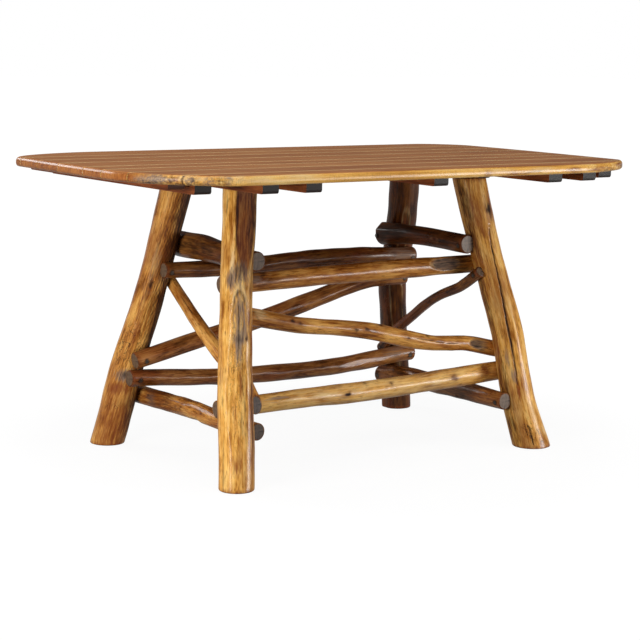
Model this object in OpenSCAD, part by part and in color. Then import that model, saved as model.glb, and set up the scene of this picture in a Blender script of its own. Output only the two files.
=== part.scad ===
// Rustic dining table: a plank top on cross battens, carried by four splayed
// legs of peeled hickory pole that twelve thinner poles tie together on all
// four sides. The poles are nailed to the legs' inner faces.
// X runs along the table, Y across it and Z up. The origin is on the floor
// under the middle of the table. Millimetres.

/* [Table top] */
// Length of the top, over its bowed ends
top_length = 1488; // [1380:1:1640]
// Width of the top
top_width = 838; // [800:1:900]
// Height of the top's upper face above the floor
table_height = 750; // [710:1:790]
// Thickness of the boards
board_thickness = 23.5; // [20:0.5:30]
// How far each end bows out in the middle
end_bow = 14; // [0:1:60]
// Length over which a long side curves in towards an end, at the front left, front right, back right and back left corner
shoulder_length = [205, 230, 125, 266]; // [90:1:320]
// Width over which an end curves in towards a long side at the same corners
shoulder_depth = [241, 109, 122, 122]; // [45:1:300]
// How full the shoulders' curve is, where 1 is a straight cut and 2 is round
shoulder_fullness = 1.6; // [1.1:0.1:2]
// Radius of the rim's upper edge
rim_top_radius = 11; // [4:0.5:12]
// Radius of the rim's lower edge
rim_low_radius = 8.5; // [2:0.5:9]
// Broken edge along each joint between two boards
joint_arris = 1.1; // [0.4:0.1:2]
// Shares of the top's width that the four front boards take, from the front edge
front_board_shares = [75, 115, 95, 84]; // [70:1:130]
// Shares that the four back boards take
back_board_shares = [124, 106, 95, 144]; // [80:1:150]

/* [Battens] */
// Width of a batten
batten_width = 45; // [35:1:55]
// Thickness of a batten
batten_thickness = 25; // [20:0.5:32]
// Thickness of the thin batten at the left end
thin_batten_thickness = 13; // [11:0.5:18]
// Rounding of a batten's lower end corners
batten_corner = 7; // [3:0.5:10]
// From the left end of the top in to the middles of the two battens there
left_batten_in = [96, 159]; // [80:1:215]
// From the right end of the top in to the middles of the three battens there
right_batten_in = [54, 168.5, 296.5]; // [50:0.5:320]
// From a left leg's top out to the batten beyond it, and in to the next one
leg_batten_offset = [70.5, 45.5]; // [45:0.5:90]
// From the middle of the table to the middle batten
middle_batten_offset = 90.5; // [60:0.5:180]
// From the front edge of the top to the near ends of the eight battens
batten_front_in = [110, 97, 49, 40, 71, 46, 56, 116]; // [35:1:140]
// From the back edge of the top to their far ends
batten_back_in = [69, 64, 58, 52, 70, 60, 66, 108]; // [45:1:140]
// How far the cleats that carry the legs run past the middles of the legs' tops
cleat_past_leg = 58; // [48:1:100]
// Width of those cleats
cleat_width = 40; // [38:1:43]

/* [Legs] */
// From an end of the top in to the middle of a foot
foot_in_x = 271; // [240:1:304]
// From a long side of the top in to the middle of a foot
foot_in_y = 119; // [98:1:139]
// How far the legs lean in towards the middle of the length, in degrees
lean_x = 9; // [6:0.1:11]
// How far the legs lean in towards the middle of the width, in degrees
lean_y = 13.1; // [10:0.1:15]
// Diameters of the front left leg, from foot to top in even steps
front_left_leg_dia = [87, 88, 87, 81, 78, 78, 82, 84]; // [74:1:104]
// Diameters of the front right leg
front_right_leg_dia = [102, 91, 85, 86, 86, 85, 89, 92]; // [74:1:104]
// Diameters of the back right leg
back_right_leg_dia = [82, 79, 77, 77, 79, 83, 84, 81]; // [74:1:104]
// Diameters of the back left leg
back_left_leg_dia = [90, 91, 91, 87, 82, 80, 83, 84]; // [74:1:104]
// How far each leg's middle strays outwards along the table, foot to top
front_left_stray_x = [0, -1, 3, 7, 8, 6, 1, 0]; // [-30:1:30]
// The same for the front right leg
front_right_stray_x = [-9, -13, -9, -1, -3, -5, -7, -4]; // [-30:1:30]
// The same for the back right leg
back_right_stray_x = [5, 1, -10, -21, -26, -8, -1, -1]; // [-30:1:30]
// The same for the back left leg
back_left_stray_x = [4, 2, 4, 1, -2, -3, -1, 3]; // [-30:1:30]
// How far each leg's middle strays outwards across the table, foot to top
front_left_stray_y = [6, 3, 0, 2, 3, 1, 0, 0]; // [-30:1:30]
// The same for the front right leg
front_right_stray_y = [2, -2, 0, 3, 1, -2, 0, 0]; // [-30:1:30]
// The same for the back right leg
back_right_stray_y = [-6, 0, 0, -2, 0, 2, 0, 0]; // [-30:1:30]
// The same for the back left leg
back_left_stray_y = [0, 2, 4, 0, -3, -1, 0, 0]; // [-30:1:30]
// Depth of the flat hewn on a leg where a pole seats
saddle_depth = 4; // [2:0.5:7]

/* [Long poles] */
// Heights of the front upper pole at its left and right legs
front_upper_height = [463, 470]; // [445:1:490]
// Diameters of the front upper pole, left to right
front_upper_dia = [46, 50, 51, 48]; // [40:1:56]
// How far it bows up, left to right
front_upper_bow = [0, 2, 3, 2, 0]; // [-15:1:15]
// How far its ends run past the middles of the legs
front_upper_past = [8, 20]; // [-10:1:30]
// Heights of the back upper pole
back_upper_height = [466, 463]; // [445:1:490]
// Diameters of the back upper pole
back_upper_dia = [41, 45, 46, 47]; // [36:1:54]
// Bow of the back upper pole
back_upper_bow = [0, -3, 6, 9, 0]; // [-15:1:15]
// Ends of the back upper pole past the legs
back_upper_past = [12, 12]; // [-10:1:30]
// Heights of the front lower pole
front_lower_height = [173, 188]; // [165:1:205]
// Diameters of the front lower pole
front_lower_dia = [45, 50, 52, 51]; // [40:1:57]
// Bow of the front lower pole
front_lower_bow = [0, 0, -5.5, -3, 0]; // [-15:1:15]
// Ends of the front lower pole past the legs
front_lower_past = [16, 20]; // [-10:1:30]
// Heights of the back lower pole
back_lower_height = [184, 176]; // [165:1:205]
// Diameters of the back lower pole
back_lower_dia = [43, 45, 46, 47]; // [38:1:54]
// Bow of the back lower pole
back_lower_bow = [0, -17, -24, -21, 0]; // [-26:1:15]
// Ends of the back lower pole past the legs
back_lower_past = [21, 16]; // [-10:1:30]

/* [Long slanting poles] */
// Space between the front slant and the pole above it at the left leg,
// and the pole below it at the right leg
front_slant_gap = [18, 10]; // [5:1:25]
// Diameters of the front slant
front_slant_dia = [44, 42, 41, 46, 40, 42]; // [34:1:50]
// Bow of the wavy front slant
front_slant_bow = [0, -3, -8, -1, 2, -4, -7, 5, 0]; // [-15:1:15]
// Ends of the front slant past the legs
front_slant_past = [-8, 14]; // [-10:1:30]
// Space between the back slant and the pole below it at the left leg,
// and the pole above it at the right leg
back_slant_gap = [7, 10]; // [5:1:25]
// Diameters of the back slant
back_slant_dia = [45, 46, 47, 46]; // [34:1:50]
// Bow of the back slant
back_slant_bow = [0, 3, 4, 8, 16, 23, 0]; // [-26:1:26]
// Ends of the back slant past the legs
back_slant_past = [21, -4]; // [-10:1:30]

/* [Short poles] */
// Space between the left upper pole and the long poles below it, front and back
left_upper_gap = [11, 5]; // [3:1:20]
// Diameters of the left upper pole, front to back
left_upper_dia = [48, 55, 61, 66, 66]; // [40:1:72]
// Bow of the left upper pole
left_upper_bow = [0, -1, 1, 3, 0]; // [-15:1:15]
// Ends of the left upper pole past the legs
left_upper_past = [6, 22]; // [-10:1:30]
// Space between the right upper pole and the long poles below it
right_upper_gap = [10, 4]; // [3:1:20]
// Diameters of the right upper pole
right_upper_dia = [50, 49, 50, 57, 66]; // [40:1:72]
// Bow of the right upper pole
right_upper_bow = [0, 4, 7, 5, 0]; // [-15:1:15]
// Ends of the right upper pole past the legs
right_upper_past = [6, -10]; // [-10:1:30]
// Space between the left lower pole and the long poles above it
left_lower_gap = [3, 13]; // [3:1:25]
// Diameters of the left lower pole
left_lower_dia = [43, 46, 47, 49]; // [38:1:56]
// Bow of the left lower pole
left_lower_bow = [0, -3, 3, 2, 0]; // [-15:1:15]
// Ends of the left lower pole past the legs
left_lower_past = [6, 16]; // [-10:1:30]
// Space between the right lower pole and the long poles above it
right_lower_gap = [17, 20]; // [3:1:30]
// Diameters of the right lower pole
right_lower_dia = [45, 51, 53, 49]; // [38:1:56]
// Bow of the right lower pole
right_lower_bow = [0, 5, 6, 9, 0]; // [-15:1:15]
// Ends of the right lower pole past the legs
right_lower_past = [14, -6]; // [-10:1:30]

/* [Short slanting poles] */
// Space under the left slant's front end, over the left lower pole
left_slant_gap = 18; // [18:1:27]
// How far the left slant's back end lies below the back upper pole
left_slant_drop = 31; // [24:1:60]
// Diameters of the left slant
left_slant_dia = [40, 40, 33, 31]; // [28:1:42]
// Bow of the left slant
left_slant_bow = [0, 18, 4, -3, -4, -3, 0]; // [-25:1:25]
// Ends of the left slant past the legs
left_slant_past = [3, 12]; // [-10:1:30]
// Lean of the saw cut at the left slant's front end, in degrees from upright
left_slant_cut_lean = 14; // [0:1:20]
// Space between the right slant and the upper pole in front, and the lower one behind
right_slant_gap = [38, 39]; // [20:1:60]
// Diameters of the right slant
right_slant_dia = [29, 27, 27, 30]; // [24:1:42]
// Bow of the curved right slant
right_slant_bow = [0, 1, 17, 25, 21, 17, 0]; // [-26:1:26]
// Ends of the right slant past the legs
right_slant_past = [13, 4]; // [-10:1:30]

/* [Pole ends] */
// Depth of the flat planed on a pole where it meets a leg
flat_depth = 5; // [3:0.5:8]
// How far that flat runs on past a leg's edge
flat_margin = 8; // [4:1:15]
// Length over which the flat runs out into the round of the pole
flat_runout = 60; // [20:1:80]
// Chamfer round a sawn end
end_chamfer = 2; // [1:0.5:4]

/* [Fasteners] */
// Diameter of a nail's shank
nail_dia = 4.8; // [3:0.1:6]
// Diameter of a nail's head
nail_head_dia = 10; // [8:0.5:13]
// Thickness of a nail's head
nail_head_height = 2; // [1:0.1:3]
// How deep a nail goes into a leg
nail_bite = 34; // [20:1:40]
// How far a nail's head is driven below the pole's surface
nail_set = 1; // [0.5:0.1:1.5]
// Least wood wanted between a nail and the end of its pole
nail_end_room = 12; // [8:0.5:16]
// Diameter of a board screw
screw_dia = 4.5; // [3.5:0.1:6]
// Diameter of its countersunk head
screw_head_dia = 9; // [7:0.5:11]
// How deep a board screw goes into a board
screw_bite = 15; // [10:0.5:17]
// Diameter of a leg bolt's shank
bolt_dia = 8; // [6:0.5:10]
// Width of a leg bolt's hexagon head across its corners
bolt_head_dia = 15; // [13:0.5:18]
// Height of a leg bolt's head
bolt_head_height = 5.5; // [4:0.5:7]
// Diameter of the hole sunk in a cleat for a leg bolt's head
bolt_sink_dia = 24; // [20:1:28]
// How deep a leg bolt goes into a leg
bolt_bite = 70; // [40:1:90]
// From the middle of a leg's top to its bolt, out along and across the table
bolt_offset = [4, 4]; // [0:1:5]
// Clearance round a fastener in its hole
hole_clearance = 0.05; // [0.03:0.01:0.1]

/* [Hidden] */
// Steps round a leg, round a pole and along them
LEG_SIDES = 20;
POLE_SIDES = 16;
LEG_STEPS = 12;
POLE_RING_PITCH = 56;
// Smoothness of the round fasteners and their holes
$fn = 32;
// Length of a nail's point and of a screw's point
POINT = 7;
// Least and greatest distance of a nail from its leg's middle line
NAIL_SHIFTS = [2.5, 19];
// Slope of a saddle's upper and lower ends along the leg
SADDLE_RAMP = 4;
// Space left above and below a pole in its saddle
SADDLE_SPARE = 2;
// Space kept between a screw and the end of a batten or the edge of a board
SCREW_EDGE = 14;
BOARD_EDGE = 9;
// How far the hex heads and the screw heads lie under the surface round them
SINK = 0.5;
// How much a pole's and a leg's section departs from a circle
POLE_LUMP = 0.025;
LEG_LUMP = 0.02;
// Length over which those lumps turn once round a pole and a leg
POLE_TWIST = 360;
LEG_TWIST = 900;
// A cut reaches this far past the face that it opens
CUT_SPARE = 1;
// Length that a pole with a leaning saw cut has to spare before it is cut,
// and how much further its nail stands from that end
LEAN_CUT_SPARE = 30;
LEAN_CUT_ROOM = 5;

half_length = top_length / 2;
half_width = top_width / 2;
top_under = table_height - board_thickness;
leg_height = top_under - batten_thickness;
foot_x = half_length - foot_in_x;
foot_y = half_width - foot_in_y;
leg_top_x = foot_x - leg_height * tan(lean_x);
leg_top_y = foot_y - leg_height * tan(lean_y);
cleat_half_length = leg_top_y + cleat_past_leg;

board_shares = concat(front_board_shares, back_board_shares);
BOARD_COUNT = len(board_shares);
function sum_to(v, n) = n <= 0 ? 0 : v[n - 1] + sum_to(v, n - 1);
// Joint lines across the table, with the front and back edges
board_edges = [
    for (i = [0:BOARD_COUNT]) top_width * sum_to(board_shares, i) / sum_to(board_shares, BOARD_COUNT) - half_width
];

// Middle of each batten along the table
batten_x = [
    left_batten_in[0] - half_length,
    left_batten_in[1] - half_length,
    -leg_top_x - leg_batten_offset[0],
    leg_batten_offset[1] - leg_top_x,
    middle_batten_offset,
    half_length - right_batten_in[2],
    half_length - right_batten_in[1],
    half_length - right_batten_in[0]
];
BATTEN_COUNT = len(batten_x);
// The two leg cleats are counted on from the battens
CROSS_COUNT = BATTEN_COUNT + 2;
function batten_depth(i) = i == 0 ? thin_batten_thickness : batten_thickness;
function batten_span(i) = [batten_front_in[i] - half_width, half_width - batten_back_in[i]];

// ---- Small tools ----

// Value of a smooth curve through even steps of list v, at u from 0 to 1 (Catmull-Rom)
function smooth_at(v, u) =
    let (n = len(v) - 1, x = min(max(u, 0), 1) * n, i = min(floor(x), n - 1), f = x - i)
    let (a = v[max(i - 1, 0)], b = v[i], c = v[i + 1], d = v[min(i + 2, n)])
    b + f * (c - a + f * (2 * a - 5 * b + 4 * c - d + f * (3 * (b - c) + d - a))) / 2;

function unit(v) = v / norm(v);
function reversed(v) = [for (i = [len(v) - 1:-1:0]) v[i]];
function sorted(v) = len(v) <= 1 ? v : let (p = v[0])
    concat(sorted([for (x = v) if (x < p) x]), [p], sorted([for (i = [1:len(v) - 1]) if (v[i] >= p) v[i]]));
// A sorted list without values that lie closer than gap to the one before
function thinned(v, gap) = [for (i = [0:len(v) - 1]) if (i == 0 || v[i] - v[i - 1] > gap) v[i]];

// A closed skin over rings of equal length, each a loop of points
module skin(rings, inside_out = false) {
    m = len(rings[0]);
    last = len(rings) - 1;
    walls = [
        for (i = [0:last - 1], j = [0:m - 1])
            let (k = (j + 1) % m) [i * m + j, (i + 1) * m + j, (i + 1) * m + k, i * m + k]
    ];
    caps = [[for (j = [0:m - 1]) j], [for (j = [m - 1:-1:0]) last * m + j]];
    faces = concat(walls, caps);
    polyhedron(
        points = [for (ring = rings, p = ring) p],
        faces = inside_out ? [for (f = faces) reversed(f)] : faces
    );
}

// ---- Plank top ----

// A corner's place in the corner lists, on side -1 (left) or 1 (right)
function corner_at(side, y) = y < 0 ? (side < 0 ? 0 : 1) : (side < 0 ? 3 : 2);
// Half the top's length on one side at distance y from its middle line, with the rim drawn in by inset
function half_length_at(side, y, inset) =
    let (
        corner = corner_at(side, y),
        depth = shoulder_depth[corner],
        s = min(max((abs(y) - half_width + depth) / (depth - inset), 0), 1),
        fall = (shoulder_length[corner] - inset)
            * (1 - pow(1 - pow(s, shoulder_fullness), 1 / shoulder_fullness)),
        x = half_length - inset - fall
    )
    x - end_bow * pow(y / half_width, 2) * x / half_length;

// Rings of the rim's profile, from the underside up: height, and how far the rim is drawn in
RIM_LEVELS = concat(
    [for (a = [0:30:90]) [rim_low_radius * (1 - cos(a)), rim_low_radius * (1 - sin(a))]],
    [
        for (a = [0, 25, 50, 70, 90])
            [board_thickness - rim_top_radius * (1 - sin(a)), rim_top_radius * (1 - cos(a))]
    ]
);
SHOULDER_STEPS = 11;

// Distances from the middle line at which an outer board's end is drawn, from its joint outwards
function outer_steps(joint, inset) =
    [for (k = [0:SHOULDER_STEPS]) joint + (half_width - inset - joint) * sin(90 * k / SHOULDER_STEPS)];
// The same for board i, in order of rising y, with its joint edges drawn in by arris
function end_steps(i, inset, arris) =
    i == 0 ? reversed([for (y = outer_steps(-board_edges[1] + arris, inset)) -y])
    : i == BOARD_COUNT - 1 ? outer_steps(board_edges[i] + arris, inset)
    : let (a = board_edges[i] + arris, b = board_edges[i + 1] - arris) [for (k = [0:4]) a + (b - a) * k / 4];

// One board, its ends and rim following the outline of the whole top
module board(i) {
    top_level = len(RIM_LEVELS) - 1;
    rings = [
        for (n = [0:top_level])
            let (
                z = top_under + RIM_LEVELS[n][0],
                inset = RIM_LEVELS[n][1],
                ys = end_steps(i, inset, n == top_level ? joint_arris : 0)
            )
            concat(
                [for (y = ys) [half_length_at(1, y, inset), y, z]],
                [for (y = reversed(ys)) [-half_length_at(-1, y, inset), y, z]]
            )
    ];
    difference() {
        skin(rings);
        for (k = [0:CROSS_COUNT - 1])
            if (has_screw(i, k))
                translate([screw_x(k), screw_y(i, k), top_under])
                    screw_pilot();
    }
}

// ---- Battens ----

// Side view of a batten between y0 and y1, hanging below the top, with rounded lower corners
module batten_profile(y0, y1, depth) {
    r = min(batten_corner, depth - CUT_SPARE);
    polygon(concat(
        [[y0, 0]],
        [for (a = [0:30:90]) [y0 + r * (1 - cos(a)), -depth + r * (1 - sin(a))]],
        [for (a = [90:-30:0]) [y1 - r * (1 - cos(a)), -depth + r * (1 - sin(a))]],
        [[y1, 0]]
    ));
}

module batten_blank(x, width, span, depth) {
    translate([x - width / 2, 0, top_under])
        rotate([90, 0, 90])
            linear_extrude(height = width)
                batten_profile(span[0], span[1], depth);
}

// Screw places in the battens, and after them in the left and the right leg cleat
function is_cleat(k) = k >= BATTEN_COUNT;
function cleat_side(k) = k == BATTEN_COUNT ? -1 : 1;
function screw_x(k) = is_cleat(k) ? cleat_side(k) * leg_top_x : batten_x[k];
function screw_span(k) = is_cleat(k) ? [-cleat_half_length, cleat_half_length] : batten_span(k);
function screw_depth(k) = is_cleat(k) ? batten_thickness : batten_depth(k);
function screw_y(i, k) =
    let (span = screw_span(k), middle = (board_edges[i] + board_edges[i + 1]) / 2)
    min(max(middle, span[0] + SCREW_EDGE), span[1] - SCREW_EDGE);
// A board gets a screw from each batten that reaches far enough under it,
// unless it is in a cleat with a leg's top in the way
function over_leg(y) = abs(abs(y) - leg_top_y) < at(front_right_leg_dia, 1) / 2 + BOARD_EDGE;
function has_screw(i, k) =
    let (y = screw_y(i, k))
    y > board_edges[i] + BOARD_EDGE && y < board_edges[i + 1] - BOARD_EDGE
    && !(is_cleat(k) && over_leg(y));

module screw_pilot() {
    translate([0, 0, -CUT_SPARE])
        cylinder(h = screw_bite + CUT_SPARE, d = screw_dia + 2 * hole_clearance);
}

// The countersunk hole up through a batten of the given depth, from its underside
module screw_hole(depth) {
    slope = (screw_head_dia - screw_dia) / 2;
    translate([0, 0, -CUT_SPARE])
        cylinder(h = depth + 2 * CUT_SPARE, d = screw_dia + 2 * hole_clearance);
    translate([0, 0, -CUT_SPARE])
        cylinder(h = SINK + CUT_SPARE, d = screw_head_dia + 2 * hole_clearance);
    translate([0, 0, SINK])
        cylinder(
            h = slope,
            d1 = screw_head_dia + 2 * hole_clearance,
            d2 = screw_dia + 2 * hole_clearance
        );
}

module board_screw(depth) {
    slope = (screw_head_dia - screw_dia) / 2;
    straight = depth + screw_bite - SINK - slope - POINT / 2 - CUT_SPARE;
    translate([0, 0, SINK]) {
        cylinder(h = slope, d1 = screw_head_dia, d2 = screw_dia);
        translate([0, 0, slope])
            cylinder(h = straight, d = screw_dia);
        translate([0, 0, slope + straight])
            cylinder(h = POINT / 2, d1 = screw_dia, d2 = screw_dia / 4);
    }
}

module board_screws() {
    color("silver")
        for (i = [0:BOARD_COUNT - 1], k = [0:CROSS_COUNT - 1])
            if (has_screw(i, k))
                translate([screw_x(k), screw_y(i, k), top_under - screw_depth(k)])
                    board_screw(screw_depth(k));
}

// Where a leg's bolt stands, for the signs of its side and end
function bolt_place(sx, sy) = [sx * (leg_top_x + bolt_offset[0]), sy * (leg_top_y + bolt_offset[1])];

module bolt_hole_in_cleat() {
    translate([0, 0, leg_height - CUT_SPARE])
        cylinder(h = batten_thickness + 2 * CUT_SPARE, d = bolt_dia + 2 * hole_clearance);
    translate([0, 0, top_under - bolt_head_height - SINK])
        cylinder(h = bolt_head_height + SINK + CUT_SPARE, d = bolt_sink_dia);
}

module leg_bolts() {
    shank = batten_thickness - bolt_head_height - SINK + bolt_bite;
    color("silver")
        for (sx = [-1, 1], sy = [-1, 1])
            translate(bolt_place(sx, sy))
                translate([0, 0, top_under - SINK - bolt_head_height - shank]) {
                    translate([0, 0, POINT])
                        cylinder(h = shank - POINT, d = bolt_dia);
                    cylinder(h = POINT, d1 = bolt_dia / 4, d2 = bolt_dia);
                    translate([0, 0, shank])
                        cylinder(h = bolt_head_height, d = bolt_head_dia, $fn = 6);
                }
}

module batten(k) {
    color("saddlebrown")
        difference() {
            batten_blank(screw_x(k), is_cleat(k) ? cleat_width : batten_width, screw_span(k), screw_depth(k));
            for (i = [0:BOARD_COUNT - 1])
                if (has_screw(i, k))
                    translate([screw_x(k), screw_y(i, k), top_under - screw_depth(k)])
                        screw_hole(screw_depth(k));
            if (is_cleat(k))
                for (sy = [-1, 1])
                    translate(bolt_place(cleat_side(k), sy))
                        bolt_hole_in_cleat();
        }
}

// ---- Sides ----
// The table's four sides are numbered 0 front, 1 right, 2 back and 3 left.
// The two legs of a side stand in one leaning plane. A place on a side is given
// along it, up its slope and inwards from that plane.

function side_lean(side) = side % 2 == 0 ? lean_y : lean_x;
function side_foot(side) = side % 2 == 0 ? foot_y : foot_x;
function on_side(side, along, up, inward) =
    let (
        lean = side_lean(side),
        out = side_foot(side) - up * sin(lean) - inward * cos(lean),
        z = up * cos(lean) - inward * sin(lean)
    )
    side == 0 ? [along, -out, z] : side == 1 ? [out, along, z] : side == 2 ? [along, out, z] : [-out, along, z];
// Distance up the slope of a point at height z that lies inward from the plane
function slope_up(side, z, inward) = (z + inward * sin(side_lean(side))) / cos(side_lean(side));

// ---- Legs ----
// Numbered 0 front left, 1 front right, 2 back right and 3 back left.

LEG_DIAS = [front_left_leg_dia, front_right_leg_dia, back_right_leg_dia, back_left_leg_dia];
LEG_STRAY_X = [front_left_stray_x, front_right_stray_x, back_right_stray_x, back_left_stray_x];
LEG_STRAY_Y = [front_left_stray_y, front_right_stray_y, back_right_stray_y, back_left_stray_y];
LEG_SIGN_X = [-1, 1, 1, -1];
LEG_SIGN_Y = [-1, -1, 1, 1];

function leg_radius(leg, z) = smooth_at(LEG_DIAS[leg], z / leg_height) / 2;
function leg_out_x(leg, z) = foot_x - z * tan(lean_x) + smooth_at(LEG_STRAY_X[leg], z / leg_height);
function leg_out_y(leg, z) = foot_y - z * tan(lean_y) + smooth_at(LEG_STRAY_Y[leg], z / leg_height);
// The legs at the low and the high end of a side
function side_legs(side) = side == 0 ? [0, 1] : side == 1 ? [1, 2] : side == 2 ? [3, 2] : [0, 3];
// How far inwards of the side's plane a pole at height z seats on a leg
function seat_in(side, leg, z) =
    let (
        stray = smooth_at(side % 2 == 0 ? LEG_STRAY_Y[leg] : LEG_STRAY_X[leg], z / leg_height)
    )
    (leg_radius(leg, z) - stray) * cos(side_lean(side)) - saddle_depth;
// Where along the side the middle of a leg stands at height z, for end 0 or 1
function leg_along(side, end, z) =
    let (leg = side_legs(side)[end])
    (end == 0 ? -1 : 1) * (side % 2 == 0 ? leg_out_x(leg, z) : leg_out_y(leg, z));

// ---- Poles ----

// Heights of the poles that are set by their neighbours
function at(v, end) = end == 0 ? v[0] : v[len(v) - 1];
function half_sum(a, b, end_a, end_b) = (at(a, end_a) + at(b, end_b)) / 2;
left_upper_height = [
    front_upper_height[0] + half_sum(front_upper_dia, left_upper_dia, 0, 0) + left_upper_gap[0],
    back_upper_height[0] + half_sum(back_upper_dia, left_upper_dia, 0, 1) + left_upper_gap[1]
];
right_upper_height = [
    front_upper_height[1] + half_sum(front_upper_dia, right_upper_dia, 1, 0) + right_upper_gap[0],
    back_upper_height[1] + half_sum(back_upper_dia, right_upper_dia, 1, 1) + right_upper_gap[1]
];
left_lower_height = [
    front_lower_height[0] - half_sum(front_lower_dia, left_lower_dia, 0, 0) - left_lower_gap[0],
    back_lower_height[0] - half_sum(back_lower_dia, left_lower_dia, 0, 1) - left_lower_gap[1]
];
right_lower_height = [
    front_lower_height[1] - half_sum(front_lower_dia, right_lower_dia, 1, 0) - right_lower_gap[0],
    back_lower_height[1] - half_sum(back_lower_dia, right_lower_dia, 1, 1) - right_lower_gap[1]
];
front_slant_height = [
    front_upper_height[0] - half_sum(front_upper_dia, front_slant_dia, 0, 0) - front_slant_gap[0],
    front_lower_height[1] + half_sum(front_lower_dia, front_slant_dia, 1, 1) + front_slant_gap[1]
];
back_slant_height = [
    back_lower_height[0] + half_sum(back_lower_dia, back_slant_dia, 0, 0) + back_slant_gap[0],
    back_upper_height[1] - half_sum(back_upper_dia, back_slant_dia, 1, 1) - back_slant_gap[1]
];
left_slant_height = [
    left_lower_height[0] + half_sum(left_lower_dia, left_slant_dia, 0, 0) + left_slant_gap,
    back_upper_height[0] - left_slant_drop
];
right_slant_height = [
    right_upper_height[0] - half_sum(right_upper_dia, right_slant_dia, 0, 0) - right_slant_gap[0],
    right_lower_height[1] + half_sum(right_lower_dia, right_slant_dia, 1, 1) + right_slant_gap[1]
];

// Each pole: its side, heights at the two legs, diameters, bow and ends past the legs,
// and the lean of the saw cut at its low end where that isn't square
POLES = [
    [0, front_upper_height, front_upper_dia, front_upper_bow, front_upper_past],
    [0, front_slant_height, front_slant_dia, front_slant_bow, front_slant_past],
    [0, front_lower_height, front_lower_dia, front_lower_bow, front_lower_past],
    [1, right_upper_height, right_upper_dia, right_upper_bow, right_upper_past],
    [1, right_slant_height, right_slant_dia, right_slant_bow, right_slant_past],
    [1, right_lower_height, right_lower_dia, right_lower_bow, right_lower_past],
    [2, back_upper_height, back_upper_dia, back_upper_bow, back_upper_past],
    [2, back_slant_height, back_slant_dia, back_slant_bow, back_slant_past],
    [2, back_lower_height, back_lower_dia, back_lower_bow, back_lower_past],
    [3, left_upper_height, left_upper_dia, left_upper_bow, left_upper_past],
    [3, left_slant_height, left_slant_dia, left_slant_bow, left_slant_past, left_slant_cut_lean],
    [3, left_lower_height, left_lower_dia, left_lower_bow, left_lower_past]
];

function has_lean_cut(pole, end) = end == 0 && len(pole) > 5;
function pole_end_leg(pole, end) = side_legs(pole[0])[end];
function pole_end_radius(pole, end) = at(pole[2], end) / 2;
function pole_end_seat(pole, end) = seat_in(pole[0], pole_end_leg(pole, end), pole[1][end]);
function pole_end_along(pole, end) = leg_along(pole[0], end, pole[1][end]);
// Middle of the pole at its leg: along the side, up its slope and inwards
function pole_end_middle(pole, end) =
    let (inward = pole_end_seat(pole, end) + pole_end_radius(pole, end) - flat_depth)
    [pole_end_along(pole, end), slope_up(pole[0], pole[1][end], inward), inward];
function pole_slope(pole) =
    (pole[1][1] - pole[1][0]) / (pole_end_along(pole, 1) - pole_end_along(pole, 0));

// Middle of the pole at a distance along its side
function pole_middle(pole, along) =
    let (
        a = pole_end_middle(pole, 0),
        b = pole_end_middle(pole, 1),
        u = (along - a[0]) / (b[0] - a[0])
    )
    a + (b - a) * u + [0, smooth_at(pole[3], u), 0];

// How far inwards the planed flats keep the pole at a distance along its side
function flat_limit(pole, along) =
    max([
        for (end = [0, 1])
            let (
                edge = leg_radius(pole_end_leg(pole, end), pole[1][end]) + flat_margin,
                beyond = max(0, abs(along - pole_end_along(pole, end)) - edge)
            )
            pole_end_seat(pole, end) - flat_depth * 1.1 * beyond / flat_runout
    ]);

// Distances along the side at which the pole's rings stand
function pole_stations(pole) =
    let (
        a = pole_end_along(pole, 0),
        b = pole_end_along(pole, 1),
        edge_a = leg_radius(pole_end_leg(pole, 0), pole[1][0]) + flat_margin,
        edge_b = leg_radius(pole_end_leg(pole, 1), pole[1][1]) + flat_margin,
        start = a - pole[4][0] - (has_lean_cut(pole, 0) ? LEAN_CUT_SPARE : 0),
        from = a + edge_a + flat_runout,
        to = b - edge_b - flat_runout,
        steps = max(2, ceil((to - from) / POLE_RING_PITCH))
    )
    concat(
        [start, start + end_chamfer, a + edge_a * 0.5, a + edge_a, a + edge_a + flat_runout / 2],
        [for (k = [0:steps]) from + (to - from) * k / steps],
        [b - edge_b - flat_runout / 2, b - edge_b, b - edge_b * 0.5, b + pole[4][1] - end_chamfer, b + pole[4][1]]
    );

// One ring of the pole's skin: a lumpy round across its run, planed on its outer side
function pole_ring(pole, along, shrink, seed) =
    let (
        middle = pole_middle(pole, along),
        ahead = unit(pole_middle(pole, along + 1) - pole_middle(pole, along - 1)),
        up = unit([0, 1, 0] - ahead * ahead[1]),
        in = cross(ahead, up),
        a = pole_end_along(pole, 0),
        b = pole_end_along(pole, 1),
        r = smooth_at(pole[2], (along - a) / (b - a)) / 2 - shrink,
        limit = flat_limit(pole, along)
    )
    [
        for (k = [0:POLE_SIDES - 1])
            let (
                t = 360 * k / POLE_SIDES,
                turn = 360 * along / POLE_TWIST,
                lump = 1 + POLE_LUMP * (sin(2 * t + seed * 70 + turn) + 0.6 * sin(3 * t - turn * 0.7 + seed * 40)),
                p = middle + r * lump * (cos(t) * up + sin(t) * in)
            )
            on_side(pole[0], p[0], p[1], max(p[2], limit))
    ];

// All that lies beyond the leaning saw cut at the low end of a pole on the left side
module beyond_lean_cut(pole) {
    middle = pole_middle(pole, pole_end_along(pole, 0) - pole[4][0]);
    reach = 4 * pole_end_radius(pole, 0);
    translate(on_side(pole[0], middle[0], middle[1], middle[2]))
        rotate([-pole[5], 0, 0])
            translate([-reach, -2 * reach, -reach])
                cube(2 * reach);
}

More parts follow.
